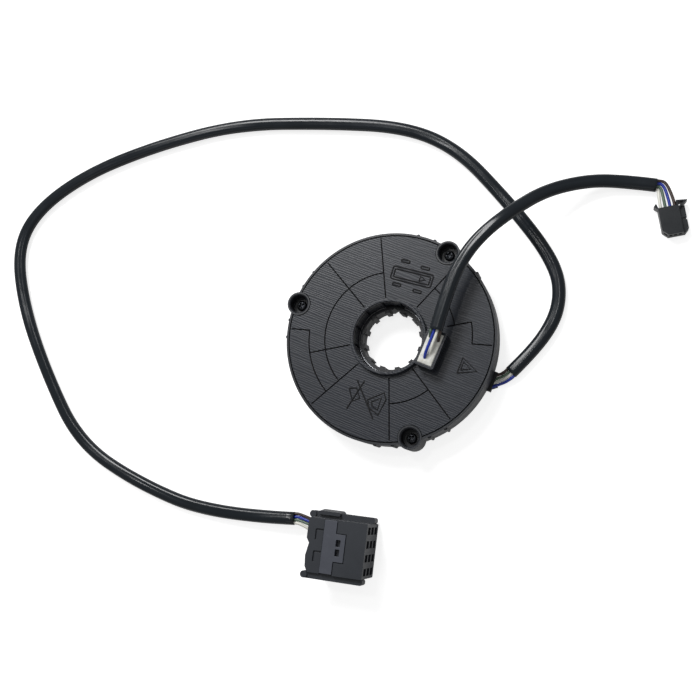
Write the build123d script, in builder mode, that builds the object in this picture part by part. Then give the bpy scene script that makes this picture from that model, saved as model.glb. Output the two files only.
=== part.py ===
"""Steering clock spring: a coiled-cable contact unit with two sleeved cords and their plugs.

Millimetres. +Z is up, towards the steering wheel. The origin is on the axis of the bore, in the
plane of the flat underside. The unit lies on that underside and the cords lie on the same surface.
"""

import math
import os

from build123d import *

os.makedirs("parts", exist_ok=True)

# Fixed half: flat base, ribbed hub sleeve and drum wall
base_inset = 0.6
base_t = 3.0
column_r = 13.2
rib_count = 12
rib_turn = 9.0
rib_w = 2.25
rib_depth = 1.0
sleeve_wall = 1.5
notch_turn = 84.0
notch_w = 4.6
notch_depth = 1.0
drum_inset = 9.6
drum_wall = 1.4
drum_head_gap = 1.0

# Clearances
run_gap = 0.3
rim_gap = 0.25
neck_fit = 0.08
ring_play = 0.15
slide_gap = 0.1
seat_gap = 0.05

# Open ring that keeps the turning half down
ring_t = 0.9
ring_groove = 0.6
ring_mouth = 9.0
ring_land = 0.5

# Turning half: face disc with neck and chimney
face_r = 48.75
face_t = 2.2
face_top = 15.0
neck_room = 0.8
neck_wall = 1.5
neck_rise = 2.5
neck_land = 3.3
neck_slot_w = 1.3
neck_slot_depth = 0.75
neck_lip = 1.2
spigot_wall = 1.35
spigot_low = 5.0
groove_w = 0.6
groove_deep = 0.45
groove_gap = 0.35
groove_end = 0.8
inner_arc_inset = 17.75
outer_arc_inset = 9.95

# Chimney beside the neck
chimney_off = 3.92
chimney_at = -20.0
chimney_turn = 66.0
chimney_long = 15.3
chimney_wide = 7.0
chimney_wall = 1.2
chimney_rise = 7.0
potting_rise = 0.8
potting_low = 14.0

# Outer ring with three screw bosses
case_wall = 1.0
boss_inset = 2.3
boss_turns = (157.0, 53.5, -79.0)
boss_r = 5.6
boss_rise = 0.4
boss_wall = 1.3
boss_floor_z = 8.0
boss_floor_t = 1.4
ear_r = 4.55
ear_low = 4.2
nub_r = 0.85
nub_out = 0.8
nub_low = 4.5
nub_turns = (-19.6, -10.1, 10.1, 19.6)

# Pan-head screws
head_r = 2.45
head_h = 1.9
shank_r = 1.4
shank_len = 4.4
recess_long = 3.1
recess_w = 0.75
recess_deep = 1.1
recess_turns = (22.0, 65.0, 40.0)

# Coiled flat cable and the blocks at its two ends
cable_t = 0.3
cable_turns = 5
cable_low = 3.5
cable_h = 8.8
cable_room = 0.35
film_t = 0.2
block_t = 5.6
block_long = 13.0
block_low = 4.0
pad_w = 5.0
outer_block_t = 3.2
outer_block_w = 11.0
outer_block_h = 6.5
outer_turn = -41.4
blade_w = 0.9
blade_t = 0.4
blade_pitch = 2.2

# Cable outlet under the base
outlet_out = 0.29
outlet_at = -23.53
outlet_turn = 15.0
outlet_tongue_turn = -24.5
outlet_tongue_out = 1.9
outlet_tongue_w = 9.6
channel_w = 6.3
channel_h = 2.2
channel_back = 20.5
strip_t = 0.55
strip_back = 19.5

# Cords
sleeve_r = 3.0
wire_r = 0.7
wire_pitch = 1.5
row_pitch = 1.45

# Twelve-way plug, in its own frame: x is the mating direction, the origin is under the mating face
plug12_x = -10.8
plug12_y = -97.6
plug12_turn = -7.5
body12_len = 20.0
body12_w = 24.6
body12_h = 21.0
cavity_rows = 4
cavity_cols = 3
cavity_row_pitch = 6.1
cavity_col_pitch = 6.2
cavity_w = 3.3
cavity_h = 4.4
cavity_deep = 12.0
rail_out = 2.7
rail_h = 6.0
rail_low_z = 2.0
rail_high_z = 13.0
rail_long = 31.2
rail_short = 28.9
rail_knob_r = 1.6
hump_front = -15.4
hump_len = 12.0
hump_out = 3.8
hump_in = 0.5
lock_bar_front = -14.0
lock_bar_w = 5.9
lock_arm_front = -9.4
lock_arm_w = 12.4
lock_t = 2.0
lock_gap = 0.3
cover12_back = -27.7
cover12_wall = 1.4
gate12_left = 11.5
gate12_right = 2.5
gate12_low = 3.4
gate12_high = 11.0
hook_wide = 0.7
hook_deep = 0.7

# Four-way plug, in its own frame
plug4_x = 128.8
plug4_y = 42.1
plug4_turn = -83.0
body4_len = 13.0
body4_w = 9.0
body4_h = 6.2
body4_cut = 2.4
ledge_out = 2.6
ledge_h = 4.4
notch4_w = 1.0
wing_t = 0.7
wing_out = 3.3
wing_back = 2.0
cavity4_pitch = 2.05
cavity4_w = 1.3
cavity4_deep = 6.5

# Sizes that follow from the ones above
neck_low = base_t + run_gap
land_top = neck_low + neck_land
ring_low = land_top + ring_play
sleeve_top = ring_low + ring_t + seat_gap + ring_land
sleeve_in_r = column_r + rib_depth
sleeve_out_r = sleeve_in_r + sleeve_wall
neck_in_r = sleeve_out_r + neck_room
neck_out_r = neck_in_r + neck_wall
neck_top = face_top + neck_rise
face_low = face_top - face_t
drum_top = face_low - drum_head_gap
case_in_r = face_r + rim_gap
case_r = case_in_r + case_wall
base_r = case_r - base_inset
drum_r = base_r - drum_inset
boss_pitch_r = case_r - boss_inset
inner_arc_r = face_r - inner_arc_inset
outer_arc_r = face_r - outer_arc_inset
outlet_tongue_r = base_r + outlet_tongue_out
case_low = base_t + run_gap
boss_top = face_top + boss_rise
boss_floor_top = boss_floor_z + boss_floor_t
spigot_r = case_in_r - run_gap
chimney_top = face_top + chimney_rise
potting_top = chimney_top + potting_rise
lock_low = body12_h - lock_t


def polar(radius, turn, z=0.0):
    """A point at a radius and an angle in degrees about the bore's axis."""
    a = math.radians(turn)
    return (radius * math.cos(a), radius * math.sin(a), z)


def turned(x, y, turn, z=0.0):
    """A plane parallel to the base whose x axis is turned by an angle in degrees."""
    a = math.radians(turn)
    return Plane(origin=(x, y, z), x_dir=(math.cos(a), math.sin(a), 0), z_dir=(0, 0, 1))


def corner_radii(points):
    """The arc at each corner of a route, as large as its two runs allow."""
    radii = []
    for before, here, after in zip(points, points[1:], points[2:]):
        turn = (here - before).get_angle(after - here)
        shorter = min((here - before).length, (after - here).length)
        radii.append(0.45 * shorter / math.tan(math.radians(turn) / 2))
    return radii


def tube(name, route, radius):
    """A cord or wire: straight runs joined by tangent arcs. Prints its length and its radii."""
    points = [Vector(*p) for p in route]
    radii = corner_radii(points)
    with BuildPart() as made:
        with BuildLine() as path:
            FilletPolyline(*points, radius=radii)
        with BuildSketch(Plane(origin=points[0], z_dir=points[1] - points[0])):
            Circle(radius)
        sweep()
    length = path.wire().length
    share = made.part.volume / (math.pi * radius**2 * length)
    print(f"{name}: length {length:.1f}, volume over section times length {share:.4f}")
    print("   radii", [round(r, 1) for r in radii])
    return made.part


chimney_x, chimney_y, _ = polar(neck_out_r + chimney_off, chimney_at)
outlet_x, outlet_y, _ = polar(outlet_tongue_r + outlet_out, outlet_at)
boss_spots = [polar(boss_pitch_r, turn) for turn in boss_turns]
nub_spots = [polar(case_r + nub_out - nub_r, turn + step) for turn in boss_turns for step in nub_turns]
channel_plane = turned(outlet_x, outlet_y, outlet_turn)
chimney_plane = turned(chimney_x, chimney_y, chimney_turn)
plug12_plane = turned(plug12_x, plug12_y, plug12_turn)
plug4_plane = turned(plug4_x, plug4_y, plug4_turn)
outer_block_plane = turned(0, 0, outer_turn)
outer_block_in_r = drum_r - seat_gap - outer_block_t
coil_turn = chimney_turn - 90
coil_side = abs(chimney_y * math.cos(math.radians(coil_turn)) - chimney_x * math.sin(math.radians(coil_turn)))
chimney_reach = chimney_x * math.cos(math.radians(coil_turn)) + chimney_y * math.sin(math.radians(coil_turn))
block_face_r = chimney_reach + block_t / 2
coil_in_r = math.hypot(block_face_r, block_long / 2 + coil_side) + cable_room + cable_t / 2
coil_out_r = outer_block_in_r - seat_gap - cable_t / 2
pad_r = coil_in_r - cable_t / 2 - seat_gap
half_turns = 2 * cable_turns
coil_pitch = (coil_out_r - coil_in_r) / cable_turns
blade_spots = [(k - 1.5) * blade_pitch for k in range(4)]

# Base with the hub sleeve, the crush ribs, the key notch and the drum wall
with BuildPart() as base_plate:
    with BuildSketch(Plane.XY):
        Circle(base_r)
        with Locations(polar(outlet_tongue_r / 2, outlet_tongue_turn)):
            Rectangle(outlet_tongue_r, outlet_tongue_w, rotation=outlet_tongue_turn)
        Circle(sleeve_in_r, mode=Mode.SUBTRACT)
    extrude(amount=base_t)
    with BuildSketch(Plane.XY.offset(base_t)):
        Circle(sleeve_out_r)
        Circle(sleeve_in_r, mode=Mode.SUBTRACT)
    extrude(amount=sleeve_top - base_t)
    with BuildSketch(Plane.XY.offset(ring_low - seat_gap)):
        Circle(sleeve_out_r + 1)
        Circle(sleeve_out_r - ring_groove, mode=Mode.SUBTRACT)
    extrude(amount=ring_t + 2 * seat_gap, mode=Mode.SUBTRACT)
    with BuildSketch(Plane.XY.offset(base_t)):
        Circle(drum_r + drum_wall)
        Circle(drum_r, mode=Mode.SUBTRACT)
    extrude(amount=drum_top - base_t)
    # crush ribs, their tips on the column's own cylinder
    with BuildSketch(Plane.XY):
        with PolarLocations(column_r + rib_depth / 2, rib_count, start_angle=rib_turn):
            Rectangle(rib_depth + 1, rib_w)
        Circle(column_r, mode=Mode.SUBTRACT)
    extrude(amount=sleeve_top)
    with BuildSketch(turned(0, 0, notch_turn)):
        with BuildLine():
            Polyline(
                (column_r, -notch_w / 2),
                (sleeve_in_r + notch_depth, 0),
                (column_r, notch_w / 2),
                close=True,
            )
        make_face()
    extrude(amount=sleeve_top, mode=Mode.SUBTRACT)
    # wire channel under the base and the window up to the terminals
    with BuildSketch(channel_plane):
        with Locations((0, 0)):
            Rectangle(2 * channel_back, channel_w)
    extrude(amount=channel_h, mode=Mode.SUBTRACT)
    with BuildSketch(outer_block_plane):
        with Locations((outer_block_in_r + outer_block_t / 2, 0)):
            Rectangle(outer_block_t - 1, 3 * blade_pitch + blade_w + 2 * slide_gap)
    extrude(amount=base_t, mode=Mode.SUBTRACT)
base_plate.part.label = "base_plate"
export_step(base_plate.part, "parts/base_plate.step")

# Strip that closes the wire channel from below
with BuildPart() as outlet_cover:
    with BuildSketch(channel_plane):
        with Locations((-strip_back / 2, 0)):
            Rectangle(strip_back, channel_w - 2 * slide_gap)
    extrude(amount=strip_t)
outlet_cover.part.label = "outlet_cover"
export_step(outlet_cover.part, "parts/outlet_cover.step")

# Block at the outer end of the coiled cable, standing inside the drum wall
with BuildPart() as stator_terminal_block:
    with BuildSketch(outer_block_plane.offset(base_t)):
        with Locations((outer_block_in_r + outer_block_t / 2, 0)):
            Rectangle(outer_block_t, outer_block_w)
    extrude(amount=outer_block_h)
    with BuildSketch(Plane.XY.offset(base_t)):
        Circle(base_r)
        Circle(drum_r - seat_gap, mode=Mode.SUBTRACT)
    extrude(amount=outer_block_h, mode=Mode.SUBTRACT)
    with BuildSketch(outer_block_plane.offset(base_t)):
        with Locations(*[(outer_block_in_r + outer_block_t / 2, y) for y in blade_spots]):
            Rectangle(blade_t + 2 * seat_gap, blade_w + 2 * seat_gap)
    extrude(amount=outer_block_h, mode=Mode.SUBTRACT)
stator_terminal_block.part.label = "stator_terminal_block"
export_step(stator_terminal_block.part, "parts/stator_terminal_block.step")

with BuildPart() as stator_terminals:
    with BuildSketch(outer_block_plane.offset(channel_h)):
        with Locations(*[(outer_block_in_r + outer_block_t / 2, y) for y in blade_spots]):
            Rectangle(blade_t, blade_w)
    extrude(amount=base_t + outer_block_h + 0.6 - channel_h)
stator_terminals.part.label = "stator_terminals"
export_step(stator_terminals.part, "parts/stator_terminals.step")

# Film on the floor of the drum
with BuildPart() as lower_slip_film:
    with BuildSketch(Plane.XY.offset(base_t)):
        Circle(outer_block_in_r - seat_gap)
        Circle(neck_out_r + run_gap, mode=Mode.SUBTRACT)
    extrude(amount=film_t)
lower_slip_film.part.label = "lower_slip_film"
export_step(lower_slip_film.part, "parts/lower_slip_film.step")

# Open ring in the groove of the hub sleeve
with BuildPart() as retaining_ring:
    with BuildSketch(Plane.XY.offset(ring_low)):
        Circle(neck_in_r - rim_gap)
        Circle(sleeve_out_r - ring_groove + seat_gap, mode=Mode.SUBTRACT)
        with Locations(polar(neck_in_r / 2, notch_turn)):
            Rectangle(neck_in_r, ring_mouth, rotation=notch_turn, mode=Mode.SUBTRACT)
    extrude(amount=ring_t)
retaining_ring.part.label = "retaining_ring"
export_step(retaining_ring.part, "parts/retaining_ring.step")


# Lines of the face: angle, inner and outer end; then radius, start and span of those round the axis
line_in = neck_out_r + groove_end
line_out = face_r - groove_end
face_lines = [
    (94.0, line_in, line_out),
    (128.0, line_in, line_out),
    (172.0, outer_arc_r, line_out),
    (188.0, line_in, outer_arc_r),
    (218.5, line_in, line_out),
    (-90.5, line_in, line_out),
    (-54.5, line_in, line_out),
    (-7.5, outer_arc_r, line_out),
    (7.5, chimney_x + chimney_wide, outer_arc_r),
    (45.0, line_in, line_out - boss_r),
]
face_arcs = [
    (inner_arc_r, 94.0, 124.5),
    (inner_arc_r, -90.5, 36.0),
    (inner_arc_r, 7.5, 37.5),
    (outer_arc_r, 172.0, 46.5),
    (outer_arc_r, -7.5, 15.0),
]

# Face disc with the neck, the chimney and the moulded lines
with BuildPart() as top_cover:
    with BuildSketch(Plane.XY.offset(face_low)):
        Circle(face_r)
        Circle(neck_in_r, mode=Mode.SUBTRACT)
    extrude(amount=face_t)
    rim_edge = top_cover.edges().filter_by(GeomType.CIRCLE).group_by(Axis.Z)[-1].sort_by(SortBy.RADIUS)[-1]
    chamfer(rim_edge, length=groove_gap)
    with BuildSketch(Plane.XY.offset(spigot_low)):
        Circle(spigot_r)
        Circle(spigot_r - spigot_wall, mode=Mode.SUBTRACT)
    extrude(amount=face_low - spigot_low)
    with BuildSketch(Plane.XY.offset(boss_floor_z)):
        with Locations(*boss_spots):
            Circle(boss_r + rim_gap)
    extrude(amount=face_top - boss_floor_z, mode=Mode.SUBTRACT)
    with BuildSketch(Plane.XY.offset(ear_low)):
        with Locations(*boss_spots):
            Circle(ear_r)
    extrude(amount=boss_floor_z - ear_low)
    with Locations(*[polar(boss_pitch_r, t, boss_floor_z) for t in boss_turns]):
        Hole(radius=shank_r + seat_gap, depth=boss_floor_z - ear_low - 0.5)
    # neck, with a bearing land at its foot
    with BuildSketch(Plane.XY.offset(neck_low)):
        Circle(neck_out_r)
        Circle(neck_in_r, mode=Mode.SUBTRACT)
    extrude(amount=neck_top - neck_low)
    neck_edges = top_cover.edges().filter_by(GeomType.CIRCLE).group_by(Axis.Z)[-1]
    fillet(neck_edges, radius=neck_wall / 4)
    with BuildSketch(Plane.XY.offset(neck_low)):
        Circle(neck_in_r + seat_gap)
        Circle(sleeve_out_r + neck_fit, mode=Mode.SUBTRACT)
    extrude(amount=neck_land)
    with BuildSketch(Plane.XY.offset(sleeve_top)):
        with PolarLocations(neck_in_r, rib_count, start_angle=rib_turn):
            Rectangle(2 * neck_slot_depth, neck_slot_w)
    extrude(amount=neck_top - neck_lip - sleeve_top, mode=Mode.SUBTRACT)
    # chimney
    with BuildSketch(chimney_plane.offset(face_low)):
        RectangleRounded(chimney_long + 2 * chimney_wall, chimney_wide + 2 * chimney_wall, chimney_wall)
    extrude(amount=chimney_top - face_low)
    with BuildSketch(chimney_plane.offset(face_low)):
        Rectangle(chimney_long, chimney_wide)
    extrude(amount=chimney_top - face_low, mode=Mode.SUBTRACT)
    # moulded lines
    with BuildSketch(Plane.XY.offset(face_top)):
        for turn, inner, outer in face_lines:
            with Locations(polar((inner + outer) / 2, turn)):
                Rectangle(outer - inner, groove_w, rotation=turn)
        for radius, start, span in face_arcs:
            with BuildLine():
                CenterArc((0, 0), radius, start, span)
            trace(line_width=groove_w)
    extrude(amount=-groove_deep, mode=Mode.SUBTRACT)
top_cover.part.label = "top_cover"
export_step(top_cover.part, "parts/top_cover.step")

# Outer ring: thin wall, three screw bosses with wells, twelve nubs
with BuildPart() as case_ring:
    # below the boss floors: the wall, opened where the disc's screw ears stand inside each boss
    with BuildSketch(Plane.XY.offset(case_low)):
        Circle(case_r)
        with Locations(*boss_spots):
            Circle(boss_r)
        Circle(case_in_r, mode=Mode.SUBTRACT)
        with Locations(*boss_spots):
            Circle(ear_r + rim_gap, mode=Mode.SUBTRACT)
    extrude(amount=boss_floor_z - case_low)
    with BuildSketch(Plane.XY.offset(boss_floor_z)):
        Circle(case_r)
        Circle(case_in_r, mode=Mode.SUBTRACT)
        with Locations(*boss_spots):
            Circle(boss_r)
    extrude(amount=face_top - boss_floor_z)
    with BuildSketch(Plane.XY.offset(face_top)):
        with Locations(*boss_spots):
            Circle(boss_r)
    extrude(amount=boss_rise)
    with BuildSketch(Plane.XY.offset(boss_floor_top)):
        with Locations(*boss_spots):
            Circle(boss_r - boss_wall)
    extrude(amount=boss_top - boss_floor_top, mode=Mode.SUBTRACT)
    with Locations(*[polar(boss_pitch_r, t, boss_top) for t in boss_turns]):
        Cone(
            boss_r - boss_wall,
            boss_r - boss_wall * 0.6,
            boss_wall * 0.4,
            align=(Align.CENTER, Align.CENTER, Align.MAX),
            mode=Mode.SUBTRACT,
        )
    with Locations(*[polar(boss_pitch_r, t, boss_floor_top) for t in boss_turns]):
        Hole(radius=shank_r + slide_gap, depth=boss_floor_t)
    with BuildSketch(Plane.XY.offset(nub_low)):
        with Locations(*nub_spots):
            Circle(nub_r)
    extrude(amount=face_top - case_wall - nub_low)
case_ring.part.label = "case_ring"
export_step(case_ring.part, "parts/case_ring.step")

# Three pan-head screws with cross recesses
with BuildPart() as case_screws:
    with Locations(*[polar(boss_pitch_r, t, boss_floor_top) for t in boss_turns]):
        Cylinder(head_r, head_h, align=(Align.CENTER, Align.CENTER, Align.MIN))
    heads = case_screws.edges().filter_by(GeomType.CIRCLE).group_by(Axis.Z)[-1]
    fillet(heads, radius=head_h * 0.4)
    with Locations(*[polar(boss_pitch_r, t, boss_floor_top) for t in boss_turns]):
        Cylinder(shank_r, shank_len, align=(Align.CENTER, Align.CENTER, Align.MAX))
    for boss_turn, recess_turn in zip(boss_turns, recess_turns):
        x, y, _ = polar(boss_pitch_r, boss_turn)
        with BuildSketch(turned(x, y, recess_turn, boss_floor_top + head_h)):
            Rectangle(recess_long, recess_w)
            Rectangle(recess_w, recess_long)
        extrude(amount=-recess_deep, mode=Mode.SUBTRACT)
case_screws.part.label = "case_screws"
export_step(case_screws.part, "parts/case_screws.step")

# Sealing compound in the chimney, slightly crowned above its walls
with BuildPart() as chimney_potting:
    with BuildSketch(chimney_plane.offset(potting_low)):
        Rectangle(chimney_long - 2 * seat_gap, chimney_wide - 2 * seat_gap)
    extrude(amount=potting_top - potting_low)
    chamfer(chimney_potting.faces().sort_by(Axis.Z)[-1].edges(), length=potting_rise * 0.75)
chimney_potting.part.label = "chimney_potting"
export_step(chimney_potting.part, "parts/chimney_potting.step")

# Block at the inner end of the coiled cable, standing under the chimney, with a clamp pad
with BuildPart() as rotor_terminal_block:
    with BuildSketch(Plane.XY.offset(block_low)):
        with Locations(polar((block_face_r + pad_r) / 2, coil_turn)):
            Rectangle(pad_r - block_face_r + 1, pad_w, rotation=coil_turn)
        Circle(pad_r, mode=Mode.INTERSECT)
        with Locations((chimney_x, chimney_y)):
            Rectangle(block_long, block_t, rotation=chimney_turn)
    extrude(amount=face_low - block_low)
    with BuildSketch(chimney_plane.offset(face_low)):
        Rectangle(block_long, block_t)
    extrude(amount=potting_low - face_low)
    with BuildSketch(chimney_plane.offset(block_low)):
        with Locations(*[(x, 0) for x in blade_spots]):
            Rectangle(blade_w + 2 * seat_gap, blade_t + 2 * seat_gap)
    extrude(amount=potting_low - block_low, mode=Mode.SUBTRACT)
rotor_terminal_block.part.label = "rotor_terminal_block"
export_step(rotor_terminal_block.part, "parts/rotor_terminal_block.step")

with BuildPart() as rotor_terminals:
    with BuildSketch(chimney_plane.offset(block_low)):
        with Locations(*[(x, 0) for x in blade_spots]):
            Rectangle(blade_w, blade_t)
    extrude(amount=potting_low - block_low)
rotor_terminals.part.label = "rotor_terminals"
export_step(rotor_terminals.part, "parts/rotor_terminals.step")

# Film under the face disc
with BuildPart() as upper_slip_film:
    with BuildSketch(Plane.XY.offset(face_low - film_t)):
        Circle(drum_r)
        Circle(neck_out_r + chimney_wide + 2 * chimney_wall, mode=Mode.SUBTRACT)
    extrude(amount=film_t)
upper_slip_film.part.label = "upper_slip_film"
export_step(upper_slip_film.part, "parts/upper_slip_film.step")

# Flat cable in loose turns, from half circles about two centres either side of the axis
with BuildPart() as coiled_cable:
    with BuildSketch(turned(0, 0, coil_turn, cable_low)):
        for half in range(half_turns):
            middle = -coil_pitch / 4 if half % 2 == 0 else coil_pitch / 4
            mid_r = coil_in_r + coil_pitch / 4 + half * coil_pitch / 2
            span = 180 if half < half_turns - 1 else 180 + outer_turn - coil_turn
            with BuildLine():
                CenterArc((middle, 0), mid_r, 180 * (half % 2), span)
            trace(line_width=cable_t)
    extrude(amount=cable_h)
coiled_cable.part.label = "coiled_cable"
export_step(coiled_cable.part, "parts/coiled_cable.step")

# Routes of the two cords, as they lie
long_route = [
    (54.4, -17.1, 3.1),
    (65.0, -7.4, 3.1),
    (74.5, 5.3, 3.1),
    (77.9, 17.0, 3.1),
    (76.9, 29.2, 3.1),
    (69.6, 44.2, 3.1),
    (54.3, 66.1, 3.1),
    (32.9, 92.8, 3.1),
    (7.5, 107.2, 3.1),
    (-32.9, 113.8, 3.1),
    (-80.7, 118.6, 3.1),
    (-125.4, 112.1, 3.1),
    (-165.9, 100.8, 3.1),
    (-196.2, 82.9, 3.1),
    (-207.6, 61.5, 3.1),
    (-201.4, 28.8, 3.1),
    (-185.7, -7.9, 3.1),
    (-165.3, -43.7, 3.1),
    (-131.3, -65.0, 3.1),
    (-90.5, -80.7, 3.3),
    (-48.1, -82.6, 6.5),
]
short_route = [
    (23.9, 0.2, 25.6),
    (28.1, 13.5, 25.9),
    (34.1, 28.6, 25.8),
    (44.0, 42.0, 25.3),
    (59.0, 53.8, 22.6),
    (74.1, 65.2, 13.1),
    (93.1, 70.4, 6.0),
    (109.1, 69.3, 3.6),
    (123.0, 66.3, 3.1),
]
long_tube = tube("long cord sleeve", long_route, sleeve_r)
short_tube = tube("short cord sleeve", short_route, sleeve_r)
with BuildPart() as long_cord_sleeve:
    add(long_tube)
long_cord_sleeve.part.label = "long_cord_sleeve"
export_step(long_cord_sleeve.part, "parts/long_cord_sleeve.step")
with BuildPart() as short_cord_sleeve:
    add(short_tube)
short_cord_sleeve.part.label = "short_cord_sleeve"
export_step(short_cord_sleeve.part, "parts/short_cord_sleeve.step")


def end_frame(tip, inner):
    """The end of a sleeve: its centre, the way out of it, and the way to the left of that."""
    tip = Vector(*tip)
    out = (tip - Vector(*inner)).normalized()
    left = Vector(0, 0, 1).cross(out).normalized()
    return tip, out, left


def local(plane, x, y, z):
    """A point given in a plug's or channel's own frame."""
    return plane.from_local_coords(Vector(x, y, z))


row_spots = [(k - (cavity_rows - 1) / 2) * cavity_row_pitch for k in range(cavity_rows)]
col_spots = [body12_h / 2 + (k - (cavity_cols - 1) / 2) * cavity_col_pitch for k in range(cavity_cols)]

# The four wires lie side by side where they enter a sleeve. Lanes count from the right of the way out.
colours = ("brown", "blue", "green", "white")
outlet_lane = {"brown": -1.5, "green": -0.5, "white": 0.5, "blue": 1.5}
plug12_lane = {"brown": 1.5, "blue": 0.5, "green": -0.5, "white": -1.5}
plug12_gate = {"brown": (10.4, 9.5), "blue": (8.8, 8.4), "green": (7.2, 7.0), "white": (4.8, 6.0)}
plug12_spot = {
    "brown": (row_spots[3], col_spots[2]),
    "blue": (row_spots[3], col_spots[1]),
    "green": (row_spots[3], col_spots[0]),
    "white": (row_spots[2], col_spots[0]),
}
potting_lane = {"green": 1.5, "blue": 0.5, "white": -0.5, "brown": -1.5}
potting_start = {"green": 4.6, "blue": -4.9, "white": -3.0, "brown": 4.2}
plug4_lane = {"brown": 1.5, "blue": 0.5, "green": -0.5, "white": -1.5}
wire_seat_z = body4_h * 0.55

for colour in colours:
    # long cord, at the outlet
    tip, out, left = end_frame(long_route[0], long_route[1])
    spot = tip + left * outlet_lane[colour] * row_pitch
    lane = -outlet_lane[colour] * wire_pitch
    wire_z = strip_t + slide_gap + wire_r
    outlet_wire = tube(
        f"long cord {colour} at the outlet",
        [
            local(channel_plane, -strip_back + 1, lane, wire_z),
            local(channel_plane, 1.9, lane, wire_z),
            spot + out * 2.0,
            spot,
        ],
        wire_r,
    )
    # long cord, at the twelve-way plug
    tip, out, left = end_frame(long_route[-1], long_route[-2])
    spot = tip + left * plug12_lane[colour] * row_pitch
    plug_wire = tube(
        f"long cord {colour} at the plug",
        [
            spot,
            spot + out * 2.4,
            local(plug12_plane, cover12_back - 0.4, *plug12_gate[colour]),
            local(plug12_plane, -body12_len - 2.4, *plug12_spot[colour]),
            local(plug12_plane, -body12_len, *plug12_spot[colour]),
        ],
        wire_r,
    )
    with BuildPart() as long_wire:
        add(outlet_wire)
        add(plug_wire)
    long_wire.part.label = f"long_cord_wire_{colour}"
    export_step(long_wire.part, f"parts/long_cord_wire_{colour}.step")
    # short cord, at the chimney: the wires leave the sealing compound at a slant
    tip, out, left = end_frame(short_route[0], short_route[1])
    spot = tip - left * potting_lane[colour] * row_pitch
    start = local(chimney_plane, potting_start[colour], potting_lane[colour] * row_pitch, potting_top - 0.9)
    along = Vector(spot.X - start.X, spot.Y - start.Y, 0).normalized()
    chimney_wire = tube(
        f"short cord {colour} at the chimney",
        [
            start,
            start + along * 1.5 + Vector(0, 0, 1.7 + wire_r),
            spot + out * 1.5,
            spot,
        ],
        wire_r,
    )
    # short cord, at the four-way plug
    tip, out, left = end_frame(short_route[-1], short_route[-2])
    spot = tip + left * plug4_lane[colour] * row_pitch
    lane = plug4_lane[colour] * cavity4_pitch
    small_wire = tube(
        f"short cord {colour} at the plug",
        [
            spot,
            spot + out * (2.5 + plug4_lane[colour] * row_pitch * 0.6),
            local(plug4_plane, -body4_len - 4.0, lane, wire_seat_z),
            local(plug4_plane, -body4_len, lane, wire_seat_z),
        ],
        wire_r,
    )
    with BuildPart() as short_wire:
        add(chimney_wire)
        add(small_wire)
    short_wire.part.label = f"short_cord_wire_{colour}"
    export_step(short_wire.part, f"parts/short_cord_wire_{colour}.step")

# Twelve-way plug housing: cavities in the mating face, a seat for the lock, two side rails
with BuildPart() as plug12_housing:
    with BuildSketch(plug12_plane):
        with Locations((-body12_len / 2, 0)):
            Rectangle(body12_len, body12_w)
    extrude(amount=body12_h)
    upright = plug12_housing.edges().filter_by(Axis.Z)
    fillet(upright, radius=0.5)
    for side, length, low in ((1, rail_long, rail_low_z), (-1, rail_short, rail_high_z)):
        with BuildSketch(plug12_plane.offset(low)):
            with Locations((-length / 2, side * (body12_w + rail_out) / 2)):
                RectangleRounded(length, rail_out, rail_out * 0.4)
            with Locations((-length + rail_knob_r, side * (body12_w / 2 + rail_out - rail_knob_r))):
                Circle(rail_knob_r)
        extrude(amount=rail_h)
        with BuildSketch(plug12_plane.offset(low)):
            with Locations((-length + rail_knob_r, side * (body12_w / 2 + rail_out - rail_knob_r))):
                Circle(rail_knob_r)
        extrude(amount=rail_h + 0.8)
    with BuildSketch(plug12_plane.offset(rail_low_z)):
        with Locations((hump_front - hump_len / 2, body12_w / 2 + (hump_in + hump_out) / 2)):
            RectangleRounded(hump_len, hump_out - hump_in, hump_out * 0.4)
    extrude(amount=rail_h + 1.6, taper=6)
    with BuildSketch(plug12_plane.offset(lock_low)):
        with Locations((-body12_len / 2 + (lock_bar_front + lock_gap) / 2, 0)):
            Rectangle(body12_len + lock_bar_front + lock_gap, body12_w + 1)
        with Locations(((lock_bar_front + lock_arm_front + lock_gap) / 2, 0)):
            Rectangle(lock_arm_front - lock_bar_front + lock_gap, lock_arm_w + 2 * lock_gap)
    extrude(amount=lock_t, mode=Mode.SUBTRACT)
    with BuildSketch(Plane(origin=plug12_plane.origin, x_dir=plug12_plane.y_dir, z_dir=plug12_plane.x_dir)):
        with Locations(*[(y, z) for y in row_spots for z in col_spots]):
            Rectangle(cavity_w, cavity_h)
    extrude(amount=-cavity_deep, mode=Mode.SUBTRACT)
plug12_housing.part.label = "plug12_housing"
export_step(plug12_housing.part, "parts/plug12_housing.step")

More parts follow.
